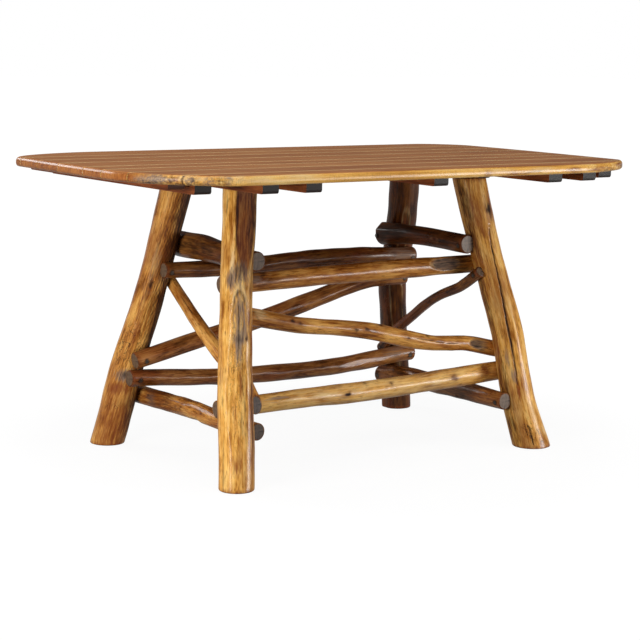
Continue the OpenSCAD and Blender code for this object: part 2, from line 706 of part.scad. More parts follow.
module pole(i) {
    pole = POLES[i];
    stations = pole_stations(pole);
    last = len(stations) - 1;
    color(i % 3 == 1 ? "peru" : "goldenrod")
        difference() {
            skin(
                [
                    for (k = [0:last])
                        pole_ring(pole, stations[k], k == 0 || k == last ? end_chamfer : 0, i)
                ],
                inside_out = pole[0] < 2
            );
            for (end = [0, 1])
                at_nail(pole, end)
                    nail_hole(pole_thickness(pole, end));
            if (has_lean_cut(pole, 0))
                beyond_lean_cut(pole);
        }
}

// ---- Saddles: the flats hewn on the legs ----

// Saddles of a leg: whether along the table, height, half its height and how far in its flat lies
function saddles(leg) = [
    for (pole = POLES, end = [0, 1])
        if (pole_end_leg(pole, end) == leg)
            let (
                lean = side_lean(pole[0]),
                r = pole_end_radius(pole, end),
                seat = pole_end_seat(pole, end),
                reach = r + abs(pole_slope(pole)) * leg_radius(leg, pole[1][end]) + SADDLE_SPARE
            )
            [pole[0] % 2 == 1, pole[1][end] + (r - flat_depth) * sin(lean), reach, seat / cos(lean)]
];
function saddle_limit(cuts, along_x, z) =
    min(concat([1e3], [for (c = cuts) if (c[0] == along_x && abs(z - c[1]) <= c[2] + 0.01) c[3]]));

function leg_heights(cuts) =
    let (
        edges = [
            for (c = cuts, e = [-c[2] - SADDLE_RAMP, -c[2], c[2], c[2] + SADDLE_RAMP]) c[1] + e
        ],
        even = [
            for (k = [0:LEG_STEPS])
                let (z = leg_height * k / LEG_STEPS)
                if (k == 0 || k == LEG_STEPS || min([for (e = edges) abs(e - z)]) > 9) z
        ]
    )
    thinned(sorted(concat(edges, even)), 0.6);

function leg_ring(leg, cuts, z) =
    let (
        sx = LEG_SIGN_X[leg],
        sy = LEG_SIGN_Y[leg],
        limit_x = foot_x - z * tan(lean_x) - saddle_limit(cuts, true, z),
        limit_y = foot_y - z * tan(lean_y) - saddle_limit(cuts, false, z)
    )
    [
        for (k = [0:LEG_SIDES - 1])
            let (
                t = 360 * k / LEG_SIDES,
                r = leg_radius(leg, z) * (1 + LEG_LUMP * sin(2 * t + 360 * z / LEG_TWIST + leg * 80)),
                x = leg_out_x(leg, z) + sx * r * cos(t),
                y = leg_out_y(leg, z) + sy * r * sin(t)
            )
            [sx * max(x, limit_x), sy * max(y, limit_y), z]
    ];

module leg(i) {
    cuts = saddles(i);
    color("burlywood")
        difference() {
            skin([for (z = leg_heights(cuts)) leg_ring(i, cuts, z)]);
            for (pole = POLES, end = [0, 1])
                if (pole_end_leg(pole, end) == i)
                    at_nail(pole, end)
                        translate([0, 0, -nail_bite])
                            cylinder(h = nail_bite + CUT_SPARE, d = nail_dia + 2 * hole_clearance);
            translate(bolt_place(LEG_SIGN_X[i], LEG_SIGN_Y[i]))
                translate([0, 0, leg_height - bolt_bite])
                    cylinder(h = bolt_bite + CUT_SPARE, d = bolt_dia + 2 * hole_clearance);
        }
}

// ---- Nails ----

// Thickness of the pole at its seat, from the flat to its inner side
function pole_thickness(pole, end) = 2 * pole_end_radius(pole, end) - flat_depth;

// Places its children on a pole's seat, with Z pointing in from the side's plane
module at_nail(pole, end) {
    side = pole[0];
    turn = 90 + side_lean(side);
    place = pole_end_middle(pole, end);
    shift = end == 0 ? 1 : -1;
    along = place[0] + shift * nail_shift(pole, end);
    middle = pole_middle(pole, along);
    translate(on_side(side, along, middle[1], pole_end_seat(pole, end)))
        rotate(side == 0 ? [-turn, 0, 0] : side == 1 ? [0, -turn, 0] : side == 2 ? [turn, 0, 0] : [0, turn, 0])
            children();
}
// How far in from the leg's middle a nail stands: further where the pole stops short
function nail_shift(pole, end) =
    let (room = nail_end_room + (has_lean_cut(pole, end) ? LEAN_CUT_ROOM : 0))
    min(max(room - pole[4][end], NAIL_SHIFTS[0]), NAIL_SHIFTS[1]);

module nail_hole(thickness) {
    translate([0, 0, -CUT_SPARE])
        cylinder(h = thickness + CUT_SPARE, d = nail_dia + 2 * hole_clearance);
    translate([0, 0, thickness - nail_set - nail_head_height / 2])
        cylinder(h = nail_set + nail_head_height + 5 * CUT_SPARE, d = nail_head_dia + 2 * hole_clearance);
}

module nail(thickness) {
    translate([0, 0, POINT - nail_bite])
        cylinder(h = nail_bite - POINT + thickness, d = nail_dia);
    translate([0, 0, -nail_bite])
        cylinder(h = POINT, d1 = nail_dia / 4, d2 = nail_dia);
    translate([0, 0, thickness - nail_set - nail_head_height / 2])
        cylinder(h = nail_head_height, d = nail_head_dia);
}

module nails(side) {
    color("dimgray")
        for (pole = POLES, end = [0, 1])
            if (pole[0] == side)
                at_nail(pole, end)
                    nail(pole_thickness(pole, end));
}

// ---- The pieces, one node each ----

module plank(i) {
    color(i % 2 == 0 ? "sienna" : "#8f5a30")
        board(i);
}

plank(0);  // board_1
plank(1);  // board_2
plank(2);  // board_3
plank(3);  // board_4
plank(4);  // board_5
plank(5);  // board_6
plank(6);  // board_7
plank(7);  // board_8
batten(0);  // batten_1
batten(1);  // batten_2
batten(2);  // batten_3
batten(3);  // batten_4
batten(4);  // batten_5
batten(5);  // batten_6
batten(6);  // batten_7
batten(7);  // batten_8
batten(BATTEN_COUNT);  // leg_cleat_left
batten(BATTEN_COUNT + 1);  // leg_cleat_right
leg(0);  // leg_front_left
leg(1);  // leg_front_right
leg(2);  // leg_back_right
leg(3);  // leg_back_left
pole(0);  // pole_front_upper
pole(1);  // pole_front_slant
pole(2);  // pole_front_lower
pole(3);  // pole_right_upper
pole(4);  // pole_right_slant
pole(5);  // pole_right_lower
pole(6);  // pole_back_upper
pole(7);  // pole_back_slant
pole(8);  // pole_back_lower
pole(9);  // pole_left_upper
pole(10);  // pole_left_slant
pole(11);  // pole_left_lower
nails(0);  // nails_front
nails(1);  // nails_right
nails(2);  // nails_back
nails(3);  // nails_left
board_screws();
leg_bolts();
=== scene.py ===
import math
import random

import bmesh
import bpy
import numpy as np
from mathutils import Matrix, Vector
from mathutils.bvhtree import BVHTree
from numpy.linalg import norm, svd


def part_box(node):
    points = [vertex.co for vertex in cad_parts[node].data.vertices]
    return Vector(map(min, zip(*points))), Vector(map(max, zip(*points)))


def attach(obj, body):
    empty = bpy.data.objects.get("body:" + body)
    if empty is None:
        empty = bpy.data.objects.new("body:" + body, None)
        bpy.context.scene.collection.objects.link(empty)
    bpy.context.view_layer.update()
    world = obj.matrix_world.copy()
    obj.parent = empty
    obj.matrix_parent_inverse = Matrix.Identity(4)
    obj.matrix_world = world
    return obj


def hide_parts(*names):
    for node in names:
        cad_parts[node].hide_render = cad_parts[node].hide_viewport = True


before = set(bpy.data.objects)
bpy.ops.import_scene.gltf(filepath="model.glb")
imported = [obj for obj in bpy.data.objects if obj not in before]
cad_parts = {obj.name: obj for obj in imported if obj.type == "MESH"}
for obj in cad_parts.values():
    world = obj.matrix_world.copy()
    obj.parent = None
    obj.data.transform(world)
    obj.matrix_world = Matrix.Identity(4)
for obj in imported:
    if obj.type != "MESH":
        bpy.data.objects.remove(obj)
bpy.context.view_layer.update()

MM = 0.001
TAU = 2 * math.pi
SIDES = ("front", "right", "back", "left")
LEGS = ["leg_front_left", "leg_front_right", "leg_back_right", "leg_back_left"]
POLES = [f"pole_{side}_{kind}" for side in SIDES for kind in ("upper", "slant", "lower")]
BOARDS = [f"board_{i}" for i in range(1, 9)]
BATTENS = [f"batten_{i}" for i in range(1, 9)] + ["leg_cleat_left", "leg_cleat_right"]


# ---- Materials ----

def linear(hex_colour):
    """An sRGB hex colour as a linear RGBA value."""
    values = [int(hex_colour[i:i + 2], 16) / 255 for i in (1, 3, 5)]
    return [v / 12.92 if v <= 0.04045 else ((v + 0.055) / 1.055) ** 2.4 for v in values] + [1.0]


def add(tree, kind, inputs=(), output=0, **settings):
    """One node with its settings, and with a value or a link in each input, by order or by name. It gives
    the output that is asked for by number or by name, the first one otherwise."""
    node = tree.nodes.new("ShaderNode" + kind)
    for key, value in settings.items():
        if key == "stops":
            stops = node.color_ramp.elements
            while len(stops) < len(value):
                stops.new(0.5)
            for stop, (place, colour) in zip(stops, value):
                stop.position, stop.color = place, linear(colour)
        else:
            setattr(node, key, value)
    for key, value in inputs.items() if isinstance(inputs, dict) else enumerate(inputs):
        if isinstance(value, bpy.types.NodeSocket):
            tree.links.new(value, node.inputs[key])
        else:
            node.inputs[key].default_value = value
    return node.outputs[output] if node.outputs else None


def new_material(name):
    """An empty node material and its tree."""
    material = bpy.data.materials.new(name)
    material.use_nodes = True
    material.node_tree.nodes.clear()
    return material, material.node_tree


def new_wood(name):
    """An empty material, its tree, and the place in the wood: along the grain, then across it."""
    material, tree = new_material(name)
    return material, tree, add(tree, "Attribute", (), "Vector", attribute_name="grain")


def stretched_noise(tree, vector, per_metre, detail, seed=0.0):
    """Noise whose cells are 1 / per_metre long in each direction, as a value from 0 to 1."""
    mapped = add(tree, "Mapping", {"Vector": vector, "Scale": per_metre, "Location": (seed, seed, seed)})
    return add(tree, "TexNoise", {"Vector": mapped, "Scale": 1.0, "Detail": detail, "Roughness": 0.6})


def weighed(tree, *shares):
    """Values added up, each times its weight."""
    total = 0.0
    for value, weight in shares:
        total = add(tree, "Math", [value, weight, total], operation="MULTIPLY_ADD")
    return total


# The inputs and the output of a Mix node that mixes colours
AMOUNT, UNDER, OVER, MIXED = 0, 6, 7, 2

# Colours laid on the wood. The pale one also serves for painted highlights, and the red, grey and dark ones for
# painted shade
PALE_SAPWOOD_AND_HIGHLIGHT, RED_HEART_AND_SHADE, WEATHERED_GREY_AND_SHADE, DARK_CHECK, DARK_KNOT_AND_SHADE = "#efcd92", "#84401c", "#8d7868", "#3a241a", "#25140a"


def layered(tree, colour, grain, *layers):
    """The wood's colour with its own layers on it, then the paleness, redness, weathering and knots painted on its
    vertices, and how far these dull the lacquer. The pale paint also lays painted highlights, and the red, grey
    and dark paint also lay painted shade. Weathered wood carries dark checks 2 mm wide and 100 mm long."""
    marks = add(tree, "Attribute", attribute_name="mark").node.outputs
    channels = add(tree, "SeparateColor", [marks["Color"]]).node.outputs
    # Every mark frays along the grain, in streaks 5 mm wide and 45 mm long
    fraying = add(tree, "MapRange", [stretched_noise(tree, grain, (22, 190, 190), 5.0, 71.0), 0.38, 0.62, -1.1, 1.1])
    amounts = []
    for held in (marks["Alpha"], channels["Blue"], channels["Green"], channels["Red"]):
        rest = add(tree, "Math", [1.0, held], operation="SUBTRACT")
        room = add(tree, "Math", [held, rest], operation="MULTIPLY")
        amounts.append(add(tree, "Math", [room, fraying, held], operation="MULTIPLY_ADD"))
    pale, red, grey, dark = amounts
    checks = add(tree, "MapRange", [stretched_noise(tree, grain, (9, 330, 330), 2.0, 53.0), 0.54, 0.64, 0.0, 0.9])
    grey_checks = add(tree, "Math", [checks, grey], operation="MULTIPLY")
    for amount, over in (
        *layers, (pale, linear(PALE_SAPWOOD_AND_HIGHLIGHT)), (red, linear(RED_HEART_AND_SHADE)), (grey, linear(WEATHERED_GREY_AND_SHADE)),
        (grey_checks, linear(DARK_CHECK)), (dark, linear(DARK_KNOT_AND_SHADE)),
    ):
        colour = add(tree, "Mix", {AMOUNT: amount, UNDER: colour, OVER: over}, MIXED, data_type="RGBA")
    return colour, add(tree, "Math", [dark, grey], operation="MAXIMUM")


def peeled_hickory(name, light, body, dark):
    """Hickory pole, debarked with a drawknife and lacquered: streaks along the grain, soft clouds of
    redder and darker wood, dark flecks of inner bark, beetle tracks where they are painted in, and
    the even gloss of an amber lacquer."""
    material, tree, grain = new_wood(name)
    # Streaks about 6 mm wide and 110 mm long, fibres 2 mm wide, clouds of 35 by 90 mm
    streaks = stretched_noise(tree, grain, (9, 160, 160), 8.0)
    fibres = stretched_noise(tree, grain, (30, 520, 520), 3.0, 5.0)
    clouds = stretched_noise(tree, grain, (11, 28, 28), 3.0, 11.0)
    tone = weighed(tree, (streaks, 0.38), (fibres, 0.2), (clouds, 0.42))
    wood = add(tree, "ValToRGB", [tone], stops=[(0.405, dark), (0.49, body), (0.575, light)])
    # Redder heartwood in patches of 60 by 150 mm
    patches = add(tree, "MapRange", [stretched_noise(tree, grain, (6, 16, 16), 3.0, 31.0), 0.48, 0.68, 0.0, 0.55])
    # Flecks of bark 3 mm wide and 18 mm long, drawn as coarse as they show
    flecks = add(tree, "MapRange", [stretched_noise(tree, grain, (40, 310, 310), 4.0, 23.0), 0.57, 0.66, 0.0, 0.8])
    # Beetle tracks: wandering dark lines, one noise contour wide
    wandering = stretched_noise(tree, grain, (34, 75, 75), 4.0, 41.0)
    off_line = add(tree, "Math", [add(tree, "Math", [wandering, 0.5], operation="SUBTRACT")], operation="ABSOLUTE")
    line = add(tree, "MapRange", [off_line, 0.008, 0.022, 1.0, 0.0])
    where = add(tree, "Attribute", (), "Fac", attribute_name="tracks")
    tracks = add(tree, "Math", [line, where], operation="MULTIPLY")
    colour, dull = layered(
        tree, wood, grain, (patches, linear(RED_HEART_AND_SHADE)), (flecks, linear(dark)), (tracks, linear(DARK_KNOT_AND_SHADE)),
    )
    gloss = add(tree, "MapRange", [clouds, 0.3, 0.7, 0.24, 0.36])
    height = add(tree, "Math", [streaks, 0.6, fibres], operation="MULTIPLY_ADD")
    add(tree, "OutputMaterial", [add(tree, "BsdfPrincipled", {
        "Base Color": colour, "IOR": 1.5, "Specular IOR Level": 0.22,
        "Roughness": add(tree, "Math", [dull, 0.4, gloss], operation="MULTIPLY_ADD"),
        "Normal": add(tree, "Bump", {"Height": height, "Strength": 0.3, "Distance": 0.4 * MM}),
        "Coat Weight": add(tree, "MapRange", [dull, 0.0, 0.6, 0.2, 0.0]), "Coat Roughness": 0.12,
    })])
    return material


def sawn_end(name, light, dark):
    """A sawn end of a pole under lacquer: grey-brown end grain in fine rings, with drying checks from its heart."""
    material, tree, grain = new_wood(name)
    parts = add(tree, "SeparateXYZ", [grain]).node.outputs
    flat = add(tree, "CombineXYZ", [parts["Y"], parts["Z"]])
    wobble = stretched_noise(tree, flat, (90, 90, 90), 2.0)
    distance = add(tree, "VectorMath", [flat], "Value", operation="LENGTH")
    # Rings 2.6 mm apart, as coarse as they show
    even = add(tree, "Math", [distance, TAU / (2.6 * MM)], operation="MULTIPLY")
    uneven = add(tree, "Math", [wobble, 6.0, even], operation="MULTIPLY_ADD")
    rings = add(tree, "MapRange", [add(tree, "Math", [uneven], operation="SINE"), -1.0, 1.0])
    blotches = stretched_noise(tree, flat, (160, 160, 160), 4.0, 3.0)
    tone = weighed(tree, (blotches, 0.8), (rings, 0.3))
    wood = add(tree, "ValToRGB", [tone], stops=[(0.3, dark), (0.75, light)])
    # Checks: thin dark rays
    bearing = add(tree, "CombineXYZ", [add(tree, "Math", [parts["Z"], parts["Y"]], operation="ARCTAN2"), 2.0])
    rays = add(tree, "TexNoise", {"Vector": bearing, "Scale": 2.4, "Detail": 2.0}, noise_dimensions="2D")
    checks = add(tree, "MapRange", [rays, 0.63, 0.7, 0.0, 0.8])
    add(tree, "OutputMaterial", [add(tree, "BsdfPrincipled", {
        "Base Color": add(
            tree, "Mix", {AMOUNT: checks, UNDER: wood, OVER: linear(DARK_KNOT_AND_SHADE)}, MIXED, data_type="RGBA"
        ),
        "Roughness": 0.5, "IOR": 1.5,
        "Normal": add(tree, "Bump", {"Height": tone, "Strength": 0.4, "Distance": 0.5 * MM}),
    })])
    return material


# Where the dark, the middle and the light colour of sawn wood stand on its tone
SAWN_STOPS = (0.36, 0.5, 0.64)


def lacquered_plank(name):
    """Top boards: brown stain under clear lacquer on the flat, rubbed through to golden wood along the rim and the
    joints, with orange-brown end grain on the ends. Their vertex paint adds painted highlights along the joints and
    high on the rim, and painted shade low on the rim."""
    material, tree, grain = new_wood(name)
    # Figure about 9 mm wide and 300 mm long, fibres 2 mm wide
    figure = stretched_noise(tree, grain, (3.2, 110, 110), 5.0)
    fibres = stretched_noise(tree, grain, (18, 480, 480), 3.0, 4.0)
    clouds = stretched_noise(tree, grain, (3.5, 14, 14), 3.0, 9.0)
    tone = weighed(tree, (figure, 0.5), (fibres, 0.2), (clouds, 0.3))
    # End grain: short upright strokes, about 2 mm apart
    strokes = stretched_noise(tree, grain, (300, 420, 60), 4.0, 6.0)
    end_tone = weighed(tree, (clouds, 0.3), (strokes, 0.7))
    flat, rim, end = [
        add(tree, "ValToRGB", [value], stops=list(zip(SAWN_STOPS, colours)))
        for value, *colours in (
            (tone, "#a8602c", "#ca8248", "#e49e5c"), (tone, "#be7f2f", "#f0b556", "#ffdf96"),
            (end_tone, "#68330f", "#9a5a26", "#b97a3a"),
        )
    ]
    facing = add(tree, "NewGeometry", (), "Normal")
    level = add(tree, "VectorMath", [facing, (1, 1, 0)], operation="MULTIPLY")
    level = add(tree, "VectorMath", [level], operation="NORMALIZE")
    across = add(tree, "Math", [add(tree, "SeparateXYZ", [level])], operation="ABSOLUTE")
    # Where the rim curves round a corner its pores show as short dark strokes
    pores = add(tree, "MapRange", [strokes, 0.5, 0.66, 0.0, 0.7])
    curved = add(tree, "MapRange", [across, 0.0, 0.35, 0.4, 1.0])
    open_pores = add(tree, "Math", [pores, curved], operation="MULTIPLY")
    endward = add(tree, "MapRange", [across, 0.8, 0.93])
    flatward = add(tree, "MapRange", [add(tree, "SeparateXYZ", [facing], "Z"), 0.8, 0.93])
    colour, _ = layered(tree, rim, grain, (open_pores, linear("#7c4a1c")), (endward, end), (flatward, flat))
    add(tree, "OutputMaterial", [add(tree, "BsdfPrincipled", {
        "Base Color": colour, "Roughness": 0.34, "IOR": 1.45, "Coat Weight": 0.15, "Coat Roughness": 0.2,
        "Normal": add(tree, "Bump", {"Height": tone, "Strength": 0.08, "Distance": 0.3 * MM}),
    })])
    return material


def stained_batten_with_painted_shade(name, end_dark, end_light):
    """Sawn hickory batten with a thin reddish-brown stain; its ends took more of it. Its sides are darkened by
    painted shade, and its dark ends are stain and painted shade together.
    """
    material, tree, grain = new_wood(name)
    # Figure about 11 mm wide and 140 mm long, fibres 2 mm wide
    figure = stretched_noise(tree, grain, (7, 90, 90), 5.0)
    fibres = stretched_noise(tree, grain, (30, 450, 450), 3.0, 4.0)
    tone = weighed(tree, (figure, 0.7), (fibres, 0.3))
    # The side colours are darkened by painted shade
    side = add(tree, "ValToRGB", [tone], stops=list(zip(SAWN_STOPS, ("#4a220e", "#763c1b", "#935328"))))
    facing = add(tree, "SeparateXYZ", [add(tree, "NewGeometry", (), "Normal")], "Y")
    endward = add(tree, "MapRange", [add(tree, "Math", [facing], operation="ABSOLUTE"), 0.4, 0.7])
    # The ends are blotched, in spots about 3 mm wide
    blotches = stretched_noise(tree, grain, (300, 300, 300), 3.0)
    end = {AMOUNT: blotches, UNDER: linear(end_dark), OVER: linear(end_light)}
    end = add(tree, "Mix", end, MIXED, data_type="RGBA")
    colour = add(tree, "Mix", {AMOUNT: endward, UNDER: side, OVER: end}, MIXED, data_type="RGBA")
    add(tree, "OutputMaterial", [add(tree, "BsdfPrincipled", {
        "Base Color": colour, "Roughness": 0.5, "IOR": 1.5, "Specular IOR Level": 0.25,
        "Normal": add(tree, "Bump", {"Height": tone, "Strength": 0.3, "Distance": 0.4 * MM}),
    })])
    return material


def worn_steel(name, colour, rough):
    """Plain steel of nails and screws: satin, with faint stains about 4 mm wide."""
    material, tree = new_material(name)
    noise = stretched_noise(tree, add(tree, "TexCoord", (), "Object"), (260, 260, 260), 4.0)
    stains = add(tree, "MapRange", [noise, 0.4, 0.65, 0.0, 0.5])
    shade = add(
        tree, "Mix", {AMOUNT: stains, UNDER: linear(colour), OVER: linear("#3b2a1e")}, MIXED, data_type="RGBA"
    )
    add(tree, "OutputMaterial", [
        add(tree, "BsdfPrincipled", {"Base Color": shade, "Metallic": 1.0, "Roughness": rough})
    ])
    return material


# Six tones of one lacquered hickory, partly the wood's own colour and partly painted light: pieces that stand in
# shade get the darker tones, and pieces in full light the lighter ones
GOLDEN, HONEY, AMBER, CHESTNUT, BROWN, DARKEST = [
    peeled_hickory(f"hickory_{shade}_lacquer", *colours) for shade, *colours in (
        ("golden", "#fac872", "#e0a047", "#95591b"), ("honey", "#eab05c", "#c58238", "#784212"),
        ("amber", "#dda253", "#b5732f", "#6b3b0f"), ("chestnut", "#b47a42", "#8c5527", "#4d290d"),
        ("brown", "#8e5c2a", "#683a16", "#321706"), ("dark", "#70431d", "#4e280e", "#241004"),
    )
]
SAWN = sawn_end("hickory_sawn_end", "#7a614a", "#3f2e22")
SAWN_DARK = sawn_end("hickory_sawn_end_dark", "#5f4b3e", "#2e2119")
PLANK = lacquered_plank("lacquered_hickory_planks")
# The near-black ends of most battens are stain and painted shade under the top; the first batten's ends are brown
BATTEN = stained_batten_with_painted_shade("stained_batten_wood", "#0c0806", "#2a1e17")
THIN_BATTEN = stained_batten_with_painted_shade("stained_batten_wood_brown_end", "#30160c", "#562b18")
NAIL = worn_steel("dark_nail_steel", "#6b625a", 0.45)
SCREW = worn_steel("zinc_plated_screw_steel", "#c9c6be", 0.3)


# ---- Shapes taken from the solids ----

def solid(name):
    """A CAD node's triangles, and a search tree over them."""
    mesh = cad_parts[name].data
    mesh.calc_loop_triangles()
    places = np.array([vertex.co for vertex in mesh.vertices])
    corners = np.array([triangle.vertices for triangle in mesh.loop_triangles])
    return places[corners], BVHTree.FromPolygons(places.tolist(), corners.tolist())


END_DEPTH = 40 * MM  # A sawn end lies within this of a pole's furthest point
SAME_WAY = 0.9995  # The cosine over which two normals are those of one flat face


def slice_centre(triangles, point, normal):
    """Middle of the outline in which a plane cuts the solid."""
    height = (triangles - point) @ normal
    cut = (height.min(1) < 0) & (height.max(1) > 0)
    corners, height = triangles[cut], height[cut]
    crossings = []
    for a, b in ((0, 1), (1, 2), (2, 0)):
        crosses = height[:, a] * height[:, b] < 0
        share = np.where(crosses, height[:, a] / np.where(crosses, height[:, a] - height[:, b], 1), np.nan)
        crossings.append(corners[:, a] + (corners[:, b] - corners[:, a]) * share[:, None])
    crossings = np.array(crossings)
    middles = np.nanmean(crossings, axis=0)
    lengths = norm(np.nanmax(crossings, axis=0) - np.nanmin(crossings, axis=0), axis=1)
    keep = np.isfinite(lengths)
    return (middles[keep] * lengths[keep, None]).sum(0) / lengths[keep].sum()


def end_face(triangles, direction):
    """Centre and outward normal of the flat end that looks in a direction."""
    cross = np.cross(triangles[:, 1] - triangles[:, 0], triangles[:, 2] - triangles[:, 0])
    area = norm(cross, axis=1)
    normal = cross / np.maximum(area, 1e-15)[:, None]
    reach = triangles.mean(1) @ direction
    near = (normal @ direction > 0.6) & (reach > reach.max() - END_DEPTH)
    best, best_area = None, 0
    for candidate in normal[near]:
        same = near & (normal @ candidate > SAME_WAY)
        if area[same].sum() > best_area:
            best, best_area = same, area[same].sum()
    weight = area[best] / area[best].sum()
    return (triangles[best].mean(1) * weight[:, None]).sum(0), (normal[best] * weight[:, None]).sum(0)


def blurred(values, times, ring=False):
    """Values averaged with their neighbours again and again, from row to row or round each closed ring."""
    for _ in range(times):
        if ring:
            before, after = np.roll(values, 1, 1), np.roll(values, -1, 1)
        else:
            before, after = np.concatenate([values[:1], values[:-1]]), np.concatenate([values[1:], values[-1:]])
        values = (before + 2 * values + after) / 4
    return values


def unit(vectors):
    """Vectors brought to length 1."""
    return vectors / norm(vectors, axis=-1, keepdims=True)


def radii_of(tree, centres, side_a, side_b, count):
    """Radius of the solid round each centre in count directions, with the drilled holes closed."""
    found = np.zeros((len(centres), count))
    outside = 120 * MM  # The rays come in from beyond every skin
    for i, centre in enumerate(centres):
        for j in range(count):
            angle = TAU * j / count
            ray = side_a[i] * math.cos(angle) + side_b[i] * math.sin(angle)
            hit = tree.ray_cast(Vector(centre + ray * outside), Vector(-ray), outside)
            found[i, j] = outside - hit[3] if hit[0] else np.nan
    # A hole lies 1.5 mm or more under the median of seven neighbours
    middle = np.nanmedian([np.roll(found, shift, 1) for shift in range(-3, 4)], axis=0)
    hole = ~np.isfinite(found) | (found < middle - 1.5 * MM)
    return np.where(hole, middle, found)


def spread(values, old, new):
    """Rows of values at places old, read off at places new."""
    flat = values.reshape(len(values), -1)
    out = np.stack([np.interp(new, old, flat[:, k]) for k in range(flat.shape[1])], axis=1)
    return out.reshape((len(new),) + values.shape[1:])


def around(values, count):
    """Values at even steps round a ring, read off at count steps."""
    closed = np.concatenate([values, values[:, :1]], axis=1)
    steps = np.arange(count) * values.shape[1] / count
    return np.stack([np.interp(steps, np.arange(closed.shape[1]), row) for row in closed])


def run_lengths(line):
    """Length along a line to each of its points."""
    return np.concatenate([[0], np.cumsum(norm(np.diff(line, axis=0), axis=1))])


LEG_SLICES, POLE_SLICES = 90, 40
SLICE_MARGIN = 1.5 * MM  # A leg's first and last slice lie this far inside its ends
LINE_STEP = 12 * MM  # The even steps of a pole's centre line
END_TURN = 45 * MM  # How far from a pole's ends its rings begin to turn with the saw cut


def leg_line(triangles):
    """A leg's centre line through level slices, with the ways along it and to its first side."""
    low, high = triangles[:, :, 2].min(), triangles[:, :, 2].max()
    heights = np.linspace(low + SLICE_MARGIN, high - SLICE_MARGIN, LEG_SLICES)
    up = np.array([0.0, 0.0, 1.0])
    line = blurred(np.array([slice_centre(triangles, up * height, up) for height in heights]), 12)
    line[:, 2] = heights
    foot, top = line[0] * [1, 1, 0] + up * low, line[-1] * [1, 1, 0] + up * high
    line = np.concatenate([[foot], line, [top]])
    return line, np.tile(up, (len(line), 1)), np.tile([1.0, 0.0, 0.0], (len(line), 1))


def pole_line(triangles):
    """A pole's centre line through square slices, with the ways along it and to its first side."""
    points = triangles.reshape(-1, 3)
    direction = svd(points - points.mean(0), full_matrices=False)[2][0]
    if direction @ [1, 1, 0] < 0:
        direction = -direction
    start, start_normal = end_face(triangles, -direction)
    stop, stop_normal = end_face(triangles, direction)
    shares = np.linspace(0.07, 0.93, POLE_SLICES)
    inner = [slice_centre(triangles, start + (stop - start) * share, unit(stop - start)) for share in shares]
    line = blurred(np.array([start, *inner, stop]), 3)
    line[0], line[-1] = start, stop
    steps = run_lengths(line)
    line = spread(line, steps, np.linspace(0, steps[-1], int(steps[-1] / LINE_STEP) + 1))
    line[1:-1] = blurred(line, 3)[1:-1]
    run = unit(np.gradient(line, axis=0))
    for end, normal in ((0, -start_normal), (-1, stop_normal)):
        share = np.clip(1 - norm(line - line[end], axis=1) / END_TURN, 0, 1)[:, None]
        run = unit(run * (1 - share) + normal * share)
    return line, run, unit(np.array([0, 0, 1.0]) - run * run[:, 2:3])


# ---- Pieces from rings of places ----

def skinned(places):
    """A closed skin over rings of places, with the ring and the step of each of its vertices."""
    rings, steps = places.shape[:2]
    bm = bmesh.new()
    bmesh.ops.create_cone(bm, cap_ends=True, cap_tris=False, segments=steps, radius1=1, radius2=1, depth=rings - 1)
    walls = [e for e in bm.edges if abs(e.verts[0].co.z - e.verts[1].co.z) > 0.5]
    bmesh.ops.subdivide_edges(bm, edges=walls, cuts=rings - 2, use_grid_fill=True)
    found = []
    for vertex in bm.verts:
        ring = round(vertex.co.z + (rings - 1) / 2)
        step = round(math.atan2(vertex.co.y, vertex.co.x) / TAU * steps) % steps
        vertex.co = places[ring, step]
        found.append((ring, step))
    bm.normal_update()
    bmesh.ops.recalc_face_normals(bm, faces=bm.faces)
    bm.normal_update()
    return bm, tuple(np.array(found).T)


def new_object(bm, name, materials):
    """A finished shape as an object of the scene."""
    mesh = bpy.data.meshes.new(name)
    bm.to_mesh(mesh)
    bm.free()
    for material in materials:
        mesh.materials.append(material)
    made = bpy.data.objects.new(name, mesh)
    bpy.context.scene.collection.objects.link(made)
    return made


# How a number, a place and a colour are kept on each vertex
KEPT_AS = {(): ("FLOAT", "value"), (3,): ("FLOAT_VECTOR", "vector"), (4,): ("FLOAT_COLOR", "color")}


def new_piece(bm, node, ending, slot, materials, **kept):
    """A finished shape as the piece that stands for a CAD node, with values kept on its vertices."""
    piece = new_object(bm, node + ending, materials)
    for key, values in kept.items():
        kind, field = KEPT_AS[values.shape[1:]]
        piece.data.attributes.new(key, kind, "POINT").data.foreach_set(field, values.ravel())
    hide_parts(node)
    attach(piece, "root")


# ---- Round pieces ----

END_STEPS = np.array([0, 0.4, 1.2, 2.4, 4.0]) * MM
RAYS = 48
# What is painted on a round piece or a board. Dark, grey and red also hold painted shade, and pale holds painted
# highlights
DARK, GREY, RED, PALE, TRACKS = 0, 1, 2, 3, 4


